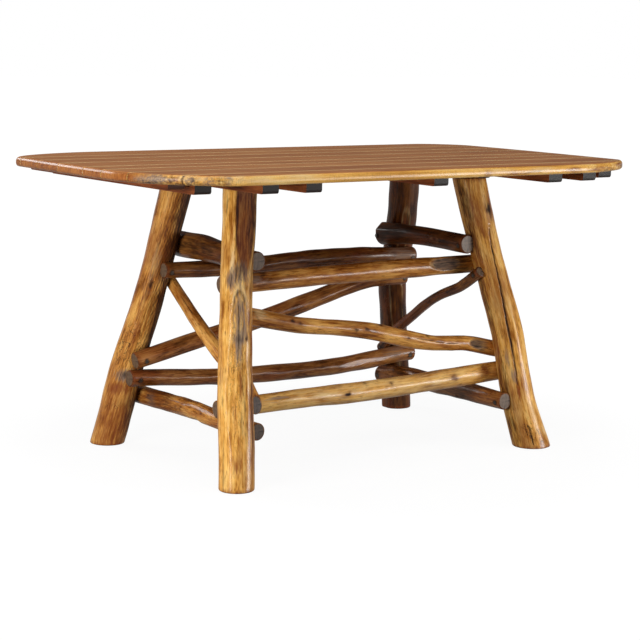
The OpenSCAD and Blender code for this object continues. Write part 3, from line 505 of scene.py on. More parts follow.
class Round:
    """A pole or a leg as rings of radii round a centre line, ready to be worked and meshed."""

    def __init__(self, name, sides, pitch):
        self.name = name
        self.draw = random.Random(name)
        triangles, tree = solid(name)
        line, run, side_a = leg_line(triangles) if name in LEGS else pole_line(triangles)
        side_b = np.cross(run, side_a)
        steps = run_lengths(line)
        inner = slice(1, -1)
        radii = blurred(radii_of(tree, line[inner], side_a[inner], side_b[inner], RAYS), 3, True)
        self.length = steps[-1]
        body = np.linspace(END_STEPS[-1], self.length - END_STEPS[-1], int(self.length / pitch))
        self.along = np.concatenate([END_STEPS[:-1], body, self.length - END_STEPS[-2::-1]])
        self.line = spread(line, steps, self.along)
        self.side_a = unit(spread(side_a, steps, self.along))
        self.side_b = unit(spread(side_b, steps, self.along))
        self.radii = around(spread(radii, steps[inner], self.along), sides)
        self.radii = blurred(blurred(self.radii, 2 * (round(2.0 * sides / RAYS) + 1), True), 6)
        self.angle = np.arange(sides) * TAU / sides
        self.marks = np.zeros(self.radii.shape + (4,))
        self.tracks = np.zeros(self.radii.shape)
        self.shift = self.draw.uniform(0, 9)

    def places(self):
        """Where every vertex stands."""
        ring = self.side_a[:, None] * np.cos(self.angle)[None, :, None]
        ring = ring + self.side_b[:, None] * np.sin(self.angle)[None, :, None]
        return self.line[:, None] + ring * self.radii[:, :, None]

    def nearest(self, point):
        """The place along and round the piece of a point in millimetres."""
        away = norm(self.places() - np.array(point) * MM, axis=2)
        i, j = np.unravel_index(away.argmin(), away.shape)
        return self.along[i], self.angle[j]

    def offsets(self, along, angle):
        """Distances of every vertex from a place, along the piece and round it."""
        turn = (self.angle - angle + math.pi) % TAU - math.pi
        return (self.along - along)[:, None] + 0 * turn[None, :], turn[None, :] * self.radii

    def away_from_ends(self, near, far):
        """0 by the ends and 1 in the middle of the piece."""
        share = (np.minimum(self.along, self.length - self.along) - near) / (far - near)
        return np.clip(share, 0, 1)[:, None]

    def swell(self, height, waves):
        """Slow lumps and hollows, 70 to 230 mm long, their height in millimetres."""
        total = np.zeros_like(self.radii)
        for _ in range(waves):
            turns = self.draw.choice([0, 1, 2, 2, 3])
            pitch = self.draw.uniform(70, 230) * MM
            phase = self.draw.uniform(0, TAU)
            total += np.cos(turns * self.angle[None, :] + TAU * self.along[:, None] / pitch + phase)
        keep = 1 if self.name in LEGS else self.away_from_ends(50 * MM, 110 * MM)
        self.radii += total * height * MM / math.sqrt(waves) * keep

    def shave(self, along, angle, length, depth, shades=()):
        """A flat left by the drawknife, deepest in its middle, with its shades as channel and amount. A flat with
        shades also gets a thin painted highlight along its edge.
        """
        reach, round_ = self.offsets(along, angle)
        turn = round_ / self.radii
        row = np.abs(self.along - along).argmin()
        column = np.abs((self.angle - angle + math.pi) % TAU - math.pi).argmin()
        limit = self.radii[row, column] - depth * (1 - (reach / (length / 2)) ** 2)
        facing = np.cos(turn)
        cut = np.where(facing > 0.3, limit / np.maximum(facing, 0.3), np.inf)
        # The shades are full where 3 mm are gone, and a thin pale line along the flat's edge is a painted highlight
        shaved = np.clip((self.radii - cut) / (3 * MM), 0, 1)
        edge = np.exp(-((self.radii - cut) / (0.7 * MM)) ** 2) * (np.abs(reach) < length)
        self.radii = np.minimum(self.radii, cut)
        for channel, amount in shades:
            self.mark(shaved, channel, amount)
        if shades:
            self.mark(np.where(np.isfinite(edge), edge, 0), PALE, 0.2)

    def drawknife(self, count, margin, lengths, depths):
        """Flats at random places, some way from the ends, their lengths and depths in millimetres."""
        for _ in range(count):
            self.shave(
                self.draw.uniform(margin, 1 - margin) * self.length, self.draw.uniform(0, TAU),
                self.draw.uniform(*lengths) * MM, self.draw.uniform(*depths) * MM,
            )

    def knot(self, along, angle, size, lift, dark):
        """A healed knot: a low swelling with a dark heart."""
        reach, round_ = self.offsets(along, angle)
        lobes = np.arctan2(round_, reach)
        phase = self.draw.uniform(0, TAU)
        uneven = 1 + 0.16 * np.sin(2 * lobes + phase) + 0.12 * np.sin(3 * lobes + 2 * phase)
        away = np.sqrt((reach / 1.5) ** 2 + round_ ** 2) / (size * uneven)
        self.radii += lift * np.exp(-away ** 2 * 1.3) - lift * 0.8 * np.exp(-(away * 2.6) ** 2)
        self.mark(np.exp(-(away * 1.7) ** 4), DARK, dark)
        self.mark(np.exp(-((away - 1.3) / 0.3) ** 2), PALE, dark * 0.12)
        self.mark(np.exp(-(away * 0.7) ** 2), RED, dark * 0.6)

    def stain(self, along, angle, length, width, channel, amount):
        """A soft patch of another colour with a ragged edge."""
        reach, round_ = self.offsets(along, angle)
        away = np.sqrt((reach / (length / 2)) ** 2 + (round_ / (width / 2)) ** 2)
        wave = self.draw.uniform(0, TAU)
        # Frays about 16 to 37 mm long and 7 to 9 mm wide
        frays = np.sin(reach * 400 + wave) * np.sin(round_ * 700 + wave * 2) + np.sin(reach * 170 - round_ * 900)
        shape = np.clip(1.6 - 1.6 * (away + 0.105 * frays), 0, 1)
        if channel == TRACKS:
            self.tracks = np.maximum(self.tracks, shape * amount)
        else:
            self.mark(shape, channel, amount)

    def scar(self, along, angle, length, width):
        """An old wound: grey sunken wood under a raised arched lip, which looks down the piece. The lip is painted
        pale as a highlight.
        """
        reach, round_ = self.offsets(along, angle)
        away = np.sqrt((reach / (length / 2)) ** 2 + (round_ / (width / 2)) ** 2)
        frays = (np.sin(reach * 210) * np.sin(round_ * 520 + 1) + 0.8 * np.sin(reach * 90 + round_ * 700)) * 0.22
        inside = np.clip((1.05 - away + frays) * 2, 0, 1)
        lip = np.exp(-((away - 1.05) / 0.16) ** 2) * np.clip(reach / (length / 2) * 1.6, 0, 1)
        self.radii += 1.6 * MM * lip - 1.8 * MM * inside * np.clip(0.5 + reach / length * 2, 0, 1)
        self.mark(inside, GREY, 0.7)
        # A painted highlight on the lip
        self.mark(lip, PALE, 0.5)
        self.mark(np.exp(-((away - 0.86) / 0.08) ** 2) * np.clip(reach / (length / 2) * 2, 0, 1), DARK, 0.55)

    def crack(self, path, width, depth):
        """A drying crack along a path of points in millimetres."""
        stops = sorted(self.nearest(point) for point in path)
        rows = (self.along >= stops[0][0]) & (self.along <= stops[-1][0])
        angles = np.unwrap([stop[1] for stop in stops])
        track = np.interp(self.along, [stop[0] for stop in stops], angles)
        # It wanders in waves of 39 and 16 mm
        wobble = np.sin(self.along * 160) * 0.012 + np.sin(self.along * 390) * 0.006
        turn = (self.angle[None, :] - (track + wobble)[:, None] + math.pi) % TAU - math.pi
        mid = (stops[0][0] + stops[-1][0]) / 2
        half = max((stops[-1][0] - stops[0][0]) / 2, MM)
        taper = np.sqrt(np.clip(1 - ((self.along - mid) / half) ** 2, 0, 1))[:, None]
        gap = np.abs(turn * self.radii) / (width * np.maximum(taper, 0.2))
        cut = np.clip(1.25 - gap, 0, 1) * taper ** 0.5 * rows[:, None]
        self.radii -= depth * cut
        self.mark(np.clip(cut * 1.3, 0, 1), DARK, 0.95)

    def mark(self, shape, channel, amount):
        """Paint laid over what a channel holds."""
        held = self.marks[:, :, channel]
        self.marks[:, :, channel] = np.clip(held + shape * amount * (1 - held), 0, 1)

    def round_ends(self, radius):
        """The broken edge of both sawn ends, with dark and red stain that crept in from them."""
        for distance in (self.along, self.length - self.along):
            share = np.clip(1 - distance / radius, 0, 1)
            self.radii -= (radius * (1 - np.sqrt(1 - share ** 2)))[:, None]
            self.mark(np.clip(1.5 - distance / (2 * MM), 0, 1)[:, None] + 0 * self.radii, DARK, 0.5)
            self.mark(np.clip(1.5 - distance / (8 * MM), 0, 1)[:, None] + 0 * self.radii, RED, 0.5)

    def dimple(self, head, direction):
        """A small pit in which a nail's head sits, with a dark ring round it."""
        places = self.places()
        from_head = places - head
        height = from_head @ direction
        aside = norm(from_head - height[..., None] * direction, axis=2)
        near = np.abs(height) < 15 * MM
        share = np.clip((9 * MM - aside) / (3 * MM), 0, 1) * near
        self.radii -= np.clip(height + 0.6 * MM, 0, 2.5 * MM) * share
        self.mark(np.clip((9.5 * MM - aside) / (3 * MM), 0, 1) * near, DARK, 0.75)

    def build(self, material, end_material, slot):
        """The finished mesh, its grain running along the piece."""
        bm, found = skinned(self.places())
        for face in bm.faces:
            cap = len(face.verts) > 4
            face.smooth, face.material_index = not cap, int(cap)
            for edge in face.edges if cap else ():
                edge.smooth = False
        grain = np.stack([
            (self.along + self.shift)[:, None] + 0 * self.radii,
            self.radii * np.cos(self.angle), self.radii * np.sin(self.angle),
        ], axis=2)
        new_piece(
            bm, self.name, "_wood", slot, (material, end_material),
            grain=grain[found], mark=self.marks[found], tracks=self.tracks[found],
        )


# ---- Poles and legs ----

SAME_PLACE = 0.01 * MM
# A nail is wider than this only at its head, and a pole's own nails lie this near its skin
NAIL_SHANK, NAIL_REACH = 4 * MM, 12 * MM


def nail_heads(node):
    """Centre of each nail's head, and the direction in which the nail looks out."""
    bm = bmesh.new()
    bm.from_mesh(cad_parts[node].data)
    bmesh.ops.remove_doubles(bm, verts=bm.verts, dist=SAME_PLACE)
    left, heads = set(bm.verts), []
    while left:
        group, pending = set(), [left.pop()]
        while pending:
            vertex = pending.pop()
            group.add(vertex)
            for edge in vertex.link_edges:
                other = edge.other_vert(vertex)
                if other in left:
                    left.discard(other)
                    pending.append(other)
        points = np.array([v.co for v in group], float)
        middle = points.mean(0)
        axis = svd(points - middle, full_matrices=False)[2][0]
        height = (points - middle) @ axis
        aside = norm(points - middle - height[:, None] * axis, axis=1)
        wide = aside > NAIL_SHANK
        if height[wide].mean() < 0:
            axis, height = -axis, -height
        heads.append((middle + axis * height[wide].max(), axis))
    bm.free()
    return heads


NAIL_HEADS = [head for side in SIDES for head in nail_heads("nails_" + side)]

# Each pole's wood and end. The darker tones on the poles of the right end and the back are partly painted shade, and
# the lighter ones at the front partly painted light
POLE_LOOKS = {
    "pole_front_upper": (AMBER, SAWN), "pole_front_slant": (HONEY, SAWN), "pole_front_lower": (GOLDEN, SAWN),
    "pole_right_upper": (DARKEST, SAWN), "pole_right_slant": (BROWN, SAWN), "pole_right_lower": (CHESTNUT, SAWN),
    "pole_back_upper": (BROWN, SAWN), "pole_back_slant": (CHESTNUT, SAWN), "pole_back_lower": (CHESTNUT, SAWN),
    "pole_left_upper": (BROWN, SAWN), "pole_left_slant": (HONEY, SAWN_DARK), "pole_left_lower": (AMBER, SAWN_DARK),
}

# What each piece carries, at a point on its surface in mm. Sizes are in mm too.
# shave: length, depth, shades; knot: radius, height, darkness; scar: length, width;
# crack: the points after the first, width, depth; a stain is named by what it lays on: length, width, amount. Some
# stains are painted shade and some painted light, as marked.
FEATURES = {
    "leg_front_left": [
        # The flat's red-brown is the wood's colour deepened by painted shade, and the thin pale stain, 12 mm wide,
        # beside it is a painted highlight
        ("shave", (-376, -190, 640), 400, 11, [(RED, 0.9), (DARK, 0.27)]),
        (DARK, (-397, -180, 640), 230, 8, 0.5), (PALE, (-372, -210, 625), 230, 12, 0.5),
        (GREY, (-436, -213, 485), 60, 34, 0.85), (DARK, (-438, -211, 488), 44, 20, 0.3),
        (GREY, (-440, -257, 350), 44, 40, 0.7), (DARK, (-440, -257, 350), 26, 26, 0.3),
        (GREY, (-410, -222, 500), 70, 64, 0.6), (DARK, (-415, -218, 505), 50, 40, 0.35),
        (PALE, (-424, -204, 515), 90, 16, 0.6), (PALE, (-405, -215, 535), 60, 20, 0.35),
        ("scar", (-428, -240, 405), 130, 34), (GREY, (-442, -262, 330), 120, 24, 0.75),
        (GREY, (-421, -252, 370), 90, 16, 0.6), ("knot", (-420, -262, 352), 7, 1.0, 0.75),
        ("crack", (-427, -237, 440), [(-433, -250, 394), (-440, -259, 348), (-449, -271, 289)], 1.3, 1.2),
        # The dark stain 420 mm long down the leg's right side is painted shade
        (DARK, (-352, -195, 600), 420, 40, 0.6), (RED, (-404, -270, 280), 260, 24, 0.7),
        (RED, (-428, -300, 150), 300, 44, 0.75), (DARK, (-424, -298, 170), 280, 16, 0.6),
        (DARK, (-448, -305, 190), 200, 8, 0.45), (DARK, (-440, -275, 260), 150, 8, 0.4),
        (RED, (-470, -290, 180), 120, 12, 0.45), (RED, (-475, -322, 90), 110, 14, 0.5),
        (DARK, (-505, -300, 60), 200, 10, 0.35), (RED, (-490, -230, 300), 220, 10, 0.5),
        (RED, (-449, -283, 246), 90, 12, 0.7), (DARK, (-460, -307, 155), 80, 10, 0.45),
        (RED, (-485, -326, 66), 70, 26, 0.6), (DARK, (-409, -153, 657), 60, 10, 0.5),
        (DARK, (-486, -260, 209), 50, 8, 0.4), (TRACKS, (-445, -258, 337), 600, 60, 0.45),
    ],
    "leg_back_left": [
        ("knot", (-427, 165, 427), 12, 2.0, 0.6), (TRACKS, (-427, 165, 427), 60, 26, 0.8),
        (PALE, (-419, 156, 487), 90, 30, 0.3), (TRACKS, (-469, 213, 270), 190, 100, 1.0),
        (GREY, (-469, 222, 188), 44, 70, 0.8), (DARK, (-462, 215, 192), 30, 40, 0.55),
        (RED, (-483, 234, 156), 44, 90, 0.75), (TRACKS, (-492, 248, 105), 24, 90, 0.9),
        # The broad dark stains down the leg's right side, and the broad red one at their top, are painted shade
        ("shave", (-475, 228, 190), 70, 1.5, []), (DARK, (-345, 130, 590), 520, 130, 0.85),
        (RED, (-356, 135, 560), 560, 130, 0.6), (DARK, (-372, 190, 350), 440, 120, 0.8),
        (DARK, (-396, 225, 200), 300, 110, 0.75), (DARK, (-416, 252, 75), 200, 110, 0.65),
        (RED, (-470, 252, 60), 240, 210, 0.5), (DARK, (-440, 145, 470), 300, 16, 0.3),
        (RED, (-455, 190, 300), 120, 20, 0.5),
    ],
    "leg_front_right": [
        ("crack", (371, -207, 584), [
            (374, -217, 529), (382, -230, 472), (390, -246, 410), (400, -266, 311), (411, -286, 213),
            (414, -296, 162),
        ], 3.0, 5.0),
        ("knot", (375, -199, 621), 15, 1.5, 0.95), (DARK, (377, -199, 618), 60, 26, 0.6),
        ("knot", (320, -153, 659), 9, 1.0, 0.5), (GREY, (396, -270, 238), 60, 16, 0.6),
        (GREY, (407, -287, 189), 50, 14, 0.7), (RED, (416, -299, 148), 60, 14, 0.7),
        ("crack", (426, -323, 63), [(433, -333, 34), (435, -340, 9)], 1.8, 2.0),
        (TRACKS, (428, -326, 50), 90, 40, 1.0), (PALE, (478, -330, 45), 40, 30, 0.4),
        # The long dark and red stains down the leg's left side are darker, redder wood and painted shade together
        (DARK, (323, -165, 630), 320, 44, 0.6), (RED, (340, -190, 500), 300, 50, 0.6),
        (DARK, (370, -212, 370), 260, 34, 0.5), (RED, (388, -240, 250), 300, 40, 0.75),
        (DARK, (396, -268, 140), 240, 50, 0.5), (DARK, (407, -292, 40), 110, 70, 0.45),
        (RED, (385, -195, 625), 90, 40, 0.7), (RED, (345, -175, 640), 160, 40, 0.5),
        (RED, (430, -290, 170), 120, 40, 0.4), (TRACKS, (455, -335, 30), 80, 60, 0.9),
    ],
    "leg_back_right": [("shave", (385, 188, 331), 420, 4, [(DARK, 0.2)])],
    "pole_front_upper": [
        ("shave", (278, -155, 477), 118, 8, [(GREY, 0.75), (DARK, 0.5)]),
        ("knot", (-304, -152, 485), 13, 2.0, 0.7), (TRACKS, (-310, -154, 482), 50, 40, 1.0),
        (GREY, (-326, -159, 477), 40, 30, 0.6), (PALE, (236, -156, 479), 34, 16, 0.7),
        # The dark stain at the right end is a painted shadow beside the leg
        (DARK, (322, -160, 476), 110, 120, 0.6),
    ],
    "pole_front_slant": [
        (PALE, (-326, -179, 394), 46, 40, 0.5), (TRACKS, (-326, -179, 394), 46, 40, 0.8),
        ("knot", (-235, -185, 369), 7, 1.2, 0.7), ("knot", (-213, -187, 360), 7, 1.2, 0.7),
        ("knot", (-41, -192, 332), 8, 1.5, 0.8), ("knot", (-10, -193, 330), 8, 1.5, 0.8),
        ("knot", (40, -183, 338), 8, 1.0, 0.9),
        ("crack", (140, -201, 301), [(187, -203, 290), (256, -203, 277), (320, -204, 267)], 1.0, 1.2),
        (DARK, (187, -192, 302), 16, 26, 0.5),
        ("shave", (348, -204, 267), 52, 4, [(GREY, 0.8), (DARK, 0.55)]), (GREY, (368, -204, 262), 40, 50, 0.5),
    ],
    "pole_front_lower": [
        # The pale stain 900 mm long over the pole's front face is painted light
        (PALE, (0, -224, 178), 900, 130, 0.28), (GREY, (-290, -222, 188), 110, 12, 0.6),
        (PALE, (-159, -224, 181), 90, 22, 0.5), ("knot", (-88, -224, 179), 9, 1.8, 0.95),
        (DARK, (-164, -210, 159), 20, 14, 0.6), (PALE, (198, -224, 182), 60, 14, 0.6),
        ("knot", (260, -223, 187), 12, 1.5, 0.5), (RED, (260, -223, 187), 34, 26, 0.7),
        (RED, (368, -216, 199), 50, 46, 0.75), (TRACKS, (368, -216, 199), 50, 46, 1.0),
    ],
    # The dark stain on the right end's upper pole is painted shade under the table top
    "pole_right_upper": [(DARK, (289, 121, 534), 300, 90, 0.45)],
    "pole_right_lower": [
        # The dark and grey stain over the pole's front part is a painted shadow
        (DARK, (363, -90, 128), 190, 160, 0.4), (GREY, (363, -90, 128), 190, 160, 0.4),
        (TRACKS, (366, -242, 137), 50, 30, 0.8),
    ],
    "pole_back_lower": [("shave", (279, 188, 165), 150, 1.2, []), (GREY, (380, 190, 185), 90, 60, 0.35)],
    "pole_back_upper": [(GREY, (340, 115, 472), 120, 60, 0.5), ("knot", (317, 115, 470), 9, 1.5, 0.6)],
    # The long dark stain, 330 mm, is painted shade under the table top
    "pole_left_upper": [(DARK, (-338, 0, 500), 60, 26, 0.6), (DARK, (-340, 60, 525), 330, 60, 0.55)],
    "pole_left_lower": [
        (GREY, (-417, 184, 126), 60, 50, 0.4), (TRACKS, (-412, 0, 120), 420, 90, 0.7),
        (RED, (-417, 150, 135), 170, 170, 0.5), (DARK, (-417, 150, 135), 200, 170, 0.35),
        ("knot", (-417, 37, 131), 10, 1.5, 0.6), ("shave", (-408, -19, 109), 60, 3, [(DARK, 0.3)]),
    ],
    "pole_left_slant": [("crack", (-373, 114, 405), [(-378, 60, 375), (-383, 3, 344)], 0.9, 0.8)],
}


def dress(piece):
    """Everything that the table of features gives a piece."""
    for kind, point, *sizes in FEATURES.get(piece.name, []):
        if kind == "crack":
            piece.crack([point] + sizes[0], sizes[1] * MM, sizes[2] * MM)
        elif kind in ("shave", "knot", "scar"):
            getattr(piece, kind)(*piece.nearest(point), sizes[0] * MM, sizes[1] * MM, *sizes[2:])
        else:
            length, width, amount = sizes
            piece.stain(*piece.nearest(point), length * MM, width * MM, kind, amount)


for name in POLES:
    pole = Round(name, sides=56, pitch=4 * MM)
    pole.swell(height=0.45, waves=6)
    pole.drawknife(9, 0.12, (60, 150), (0.5, 1.3))
    for _ in range(3):
        along, angle = pole.draw.uniform(0.1, 0.9) * pole.length, pole.draw.uniform(0, TAU)
        pole.knot(along, angle, size=6 * MM, lift=0.8 * MM, dark=0.55)
    dress(pole)
    pole.round_ends(3.0 * MM)
    for head, direction in NAIL_HEADS:
        if norm(pole.places() - head, axis=2).min() < NAIL_REACH:
            pole.dimple(head, direction)
    pole.build(*POLE_LOOKS[name], "pole_wood")

# The legs' tones are partly painted light: the lit front legs are golden, and the back right leg, which stands in
# shade, is the darkest
LEG_LOOKS = {"leg_front_left": GOLDEN, "leg_front_right": GOLDEN, "leg_back_left": HONEY, "leg_back_right": DARKEST}
for name in LEGS:
    leg = Round(name, sides=120, pitch=3.0 * MM)
    leg.swell(height=0.45, waves=7)
    leg.drawknife(10, 0.05, (120, 260), (0.8, 1.8))
    dress(leg)
    leg.round_ends(3.5 * MM)
    leg.build(LEG_LOOKS[name], SAWN, "leg_wood")

# ---- Plank top ----

TOP_LOW, TOP_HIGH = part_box("board_4")[0].z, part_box("board_4")[1].z
HALF_LENGTH, HALF_WIDTH = 743.98 * MM, 419 * MM
# Corners in the order front left, front right, back right, back left
SHOULDER_LENGTH, SHOULDER_DEPTH = (205, 230, 125, 266), (241, 109, 122, 122)
FULLNESS, END_BOW = 1.6, 14 * MM
# Radii of the rim above and below, the bevel along the joints and the step inside it
RIM_TOP, RIM_LOW, ARRIS, ARRIS_STEP = 11 * MM, 8.5 * MM, 1.4 * MM, 1.5 * MM
# The flat's first ring inside the rim, the pale line along a joint, worn wood with a painted highlight, and the drop
# at which the flat ends
FLAT_START, PALE_LINE, FLAT_DROP = 4 * MM, 6.5 * MM, 1.6 * MM


def half_length_at(side, y, inset):
    """Half the top's length on one side at a distance from its middle line, with the rim drawn in."""
    corner = np.where(y < 0, 0 if side < 0 else 1, 3 if side < 0 else 2)
    depth = np.array(SHOULDER_DEPTH)[corner] * MM
    length = np.array(SHOULDER_LENGTH)[corner] * MM
    share = np.clip((np.abs(y) - HALF_WIDTH + depth) / (depth - inset), 0, 1)
    x = HALF_LENGTH - inset - (length - inset) * (1 - (1 - share ** FULLNESS) ** (1 / FULLNESS))
    return x - END_BOW * (y / HALF_WIDTH) ** 2 * x / HALF_LENGTH


END_COUNT, EDGE_COUNT = 34, 90
SHARP = math.radians(28)


def board_ring(low, high, height, inset, joint):
    """Outline of one board at a height, with its rim drawn in by inset and its joint edges by joint."""
    first, last = low < -HALF_WIDTH + MM, high > HALF_WIDTH - MM
    near, far = low + joint, high - joint

    def end(side):
        if first:
            steps = 1 - np.sin(np.linspace(math.pi / 2, 0, END_COUNT))
            ys = -HALF_WIDTH + inset + (far + HALF_WIDTH - inset) * steps
        elif last:
            ys = near + (HALF_WIDTH - inset - near) * np.sin(np.linspace(0, math.pi / 2, END_COUNT))
        else:
            ys = np.linspace(near, far, END_COUNT)
        if not first:
            ys[1:3] = near + ARRIS, near + ARRIS + ARRIS_STEP
        if not last:
            ys[-3:-1] = far - ARRIS - ARRIS_STEP, far - ARRIS
        xs = half_length_at(side, ys, inset)
        xs[0] -= 0 if first else ARRIS
        xs[-1] -= 0 if last else ARRIS
        return side * xs, ys

    right_x, right_y = end(1)
    left_x, left_y = end(-1)
    back = np.linspace(right_x[-1], left_x[-1], EDGE_COUNT + 2)[1:-1]
    front = np.linspace(left_x[0], right_x[0], EDGE_COUNT + 2)[1:-1]
    xs = np.concatenate([right_x, back, left_x[::-1], front])
    ys = np.concatenate([right_y, np.full(EDGE_COUNT, right_y[-1]), left_y[::-1], np.full(EDGE_COUNT, right_y[0])])
    return np.stack([xs, ys, np.full(len(xs), height)], 1)


# Levels of a board: height, inset of the rim, inset of the joint edges
levels = [(TOP_LOW, RIM_LOW + FLAT_START, FLAT_START)]
for angle in np.linspace(0, math.pi / 2, 6):
    levels.append((TOP_LOW + RIM_LOW * (1 - math.cos(angle)), RIM_LOW * (1 - math.sin(angle)), 0))
for angle in sorted([*np.linspace(0, math.pi / 2, 8), math.asin(1 - ARRIS / RIM_TOP)]):
    height = TOP_HIGH - RIM_TOP * (1 - math.sin(angle))
    levels.append((height, RIM_TOP * (1 - math.cos(angle)), max(0, height - TOP_HIGH + ARRIS)))
levels.append((TOP_HIGH, RIM_TOP + FLAT_START, ARRIS + PALE_LINE))

# Knots, wear and pale wood along the rim, with painted shade low on its front-left corner and left end and painted
# highlights high on it: place in mm, reach along the rim and up it, channel, amount
RIM_MARKS = [
    # Painted shade along the lower edge of the front-left corner
    ((-700, -285, 727), 95, 11, DARK, 0.6), ((-640, -352, 727), 95, 9, DARK, 0.5),
    ((-690, -300, 734), 130, 24, RED, 0.4), ((-600, -388, 733), 60, 20, RED, 0.35),
    ((-712, -265, 736), 26, 12, GREY, 0.6), ((-695, -292, 738), 40, 16, GREY, 0.8),
    ((-672, -322, 736), 22, 14, DARK, 0.5), ((-662, -330, 738), 16, 10, RED, 0.8),
    # The thin pale marks high on the rim are painted highlights
    ((-655, -344, 741), 22, 7, PALE, 0.8), ((-640, -358, 738), 14, 12, GREY, 0.7),
    ((-634, -362, 734), 16, 14, DARK, 0.45), ((-622, -372, 741), 26, 6, PALE, 0.7),
    ((-608, -384, 734), 18, 14, GREY, 0.5), ((-585, -395, 736), 18, 14, DARK, 0.35),
    ((-570, -402, 741), 12, 18, GREY, 0.5), ((-548, -405, 742), 30, 14, PALE, 0.5),
    ((-500, -415, 740), 60, 12, PALE, 0.35), ((-380, -419, 744), 70, 8, PALE, 0.5),
    ((-248, -406, 738), 14, 10, RED, 0.5), ((-117, -403, 739), 16, 12, RED, 0.6),
    ((-105, -403, 736), 12, 10, DARK, 0.4), ((180, -406, 736), 20, 14, RED, 0.9),
    ((172, -406, 740), 12, 8, DARK, 0.45), ((225, -407, 742), 60, 5, PALE, 0.6),
    ((267, -408, 732), 60, 6, RED, 0.6), ((330, -412, 736), 50, 6, DARK, 0.35),
    ((357, -412, 742), 60, 5, PALE, 0.5), ((472, -417, 736), 40, 10, RED, 0.7), ((567, -409, 736), 70, 8, RED, 0.6),
    ((620, -395, 730), 60, 8, DARK, 0.4), ((686, -361, 742), 70, 8, RED, 0.8),
    ((700, -345, 734), 60, 16, DARK, 0.35), ((730, -300, 736), 120, 20, RED, 0.5),
    # Painted shade along the lower edge of the left end
    ((-735, -180, 727), 120, 7, DARK, 0.35), ((-742, 60, 727), 220, 7, DARK, 0.3),
]

for index, name in enumerate(BOARDS):
    low, high = (corner.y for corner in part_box(name))
    bm, _ = skinned(np.array([board_ring(low, high, *level) for level in levels]))
    for face in bm.faces:
        face.smooth = True
    for edge in bm.edges:
        edge.smooth = len(edge.link_faces) == 2 and edge.calc_face_angle(0) < SHARP
    places = np.array([vertex.co for vertex in bm.verts], np.float32)
    x, y, z = places.T
    marks = np.zeros((len(places), 4), np.float32)
    for place, reach, rise, channel, amount in RIM_MARKS:
        away = places - np.array(place) * MM
        distance = np.sqrt((away[:, 0] ** 2 + away[:, 1] ** 2) / (reach * MM) ** 2 + (away[:, 2] / (rise * MM)) ** 2)
        marks[:, channel] = np.maximum(marks[:, channel], np.clip(1.5 - 1.5 * distance, 0, 1) * amount)
    # Pale lines along the joints of the flat, worn wood with a painted highlight of the arrises, and dark joints
    # where they show on the ends
    gap = np.minimum(y - low if index else 1.0, high - y if index < len(BOARDS) - 1 else 1.0)
    reach = np.where(x < 0, half_length_at(-1, y, 0), half_length_at(1, y, 0))
    on_flat = (z > TOP_HIGH - FLAT_DROP) * np.clip((reach - np.abs(x)) / (8 * MM) - 0.6, 0, 1)
    marks[:, PALE] = np.maximum(marks[:, PALE], np.clip(1 - (gap - ARRIS) / PALE_LINE, 0, 1) * on_flat)
    dark_joint = np.clip(1.2 - gap / (2 * MM), 0, 1) * 0.75 * (z < TOP_HIGH - FLAT_DROP)
    marks[:, DARK] = np.maximum(marks[:, DARK], dark_joint)
    # Each board has its own place in the wood
    grain = places + np.array([index * 2.7, index * 0.31, 0], np.float32)
    new_piece(bm, name, "_plank", "top_wood", (PLANK,), grain=grain, mark=marks)

# ---- Battens and cleats ----

for index, name in enumerate(BATTENS):
    bm = bmesh.new()
    bm.from_mesh(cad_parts[name].data)
    bmesh.ops.remove_doubles(bm, verts=bm.verts, dist=SAME_PLACE)
    bmesh.ops.dissolve_limit(bm, angle_limit=math.radians(1), verts=bm.verts, edges=bm.edges)
    bm.normal_update()
    long_lower_edges = [
        e for e in bm.edges
        if len(e.link_faces) == 2 and e.calc_face_angle(0) > math.radians(60) and e.calc_length() > 100 * MM
        and e.verts[0].co.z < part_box(name)[0].z + 1 * MM
    ]
    # The long lower edges are rounded to 5 mm
    bmesh.ops.bevel(
        bm, geom=long_lower_edges, offset=5 * MM, offset_type="OFFSET", affect="EDGES", segments=4, profile=0.5,
        material=-1, clamp_overlap=True,
    )
    places = np.array([vertex.co for vertex in bm.verts])
    grain = places[:, [1, 0, 2]] + [index * 1.9, index * 0.23, 0]
    new_piece(bm, name, "_wood", "batten_wood", (BATTEN if index else THIN_BATTEN,), grain=grain)

# ---- Fasteners ----

for name, material in [("nails_" + side, NAIL) for side in SIDES] + [("board_screws", SCREW), ("leg_bolts", SCREW)]:
    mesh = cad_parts[name].data
    mesh.materials.clear()
    mesh.materials.append(material)

# ---- Floor, light and camera ----

def kinds_of_ray(tree):
    """Whether a ray is the camera's or comes through glass, and whether it is mirrored."""
    paths = add(tree, "LightPath").node.outputs
    seen = add(tree, "Math", [paths["Is Camera Ray"], paths["Is Transmission Ray"]], operation="MAXIMUM")
    return seen, paths["Is Glossy Ray"]


floor_material, tree = new_material("white_studio_floor")
seen, mirrored = kinds_of_ray(tree)
grey = add(
    tree, "Mix", {AMOUNT: seen, UNDER: linear("#6a6a6a"), OVER: linear("#e8e8e8")}, MIXED, data_type="RGBA"
)
# The object's soft shadow shows on the floor within 1.5 m of its middle
away = add(tree, "VectorMath", [add(tree, "TexCoord", (), "Object")], "Value", operation="LENGTH")
lit = add(tree, "MapRange", [away, 0.7, 1.5, 0.89, 1.0])
reflected = add(tree, "Math", [mirrored, 0.25], operation="MULTIPLY")
amount = add(tree, "Math", [seen, lit, reflected], operation="MULTIPLY_ADD")
shaded = add(tree, "BsdfDiffuse", {"Color": grey})
glow = add(tree, "Emission", {"Color": (1, 1, 1, 1), "Strength": 1.04})
add(tree, "OutputMaterial", [add(tree, "MixShader", [amount, shaded, glow])])
bm = bmesh.new()
bmesh.ops.create_grid(bm, x_segments=2, y_segments=2, size=30)
new_object(bm, "studio_floor", (floor_material,))

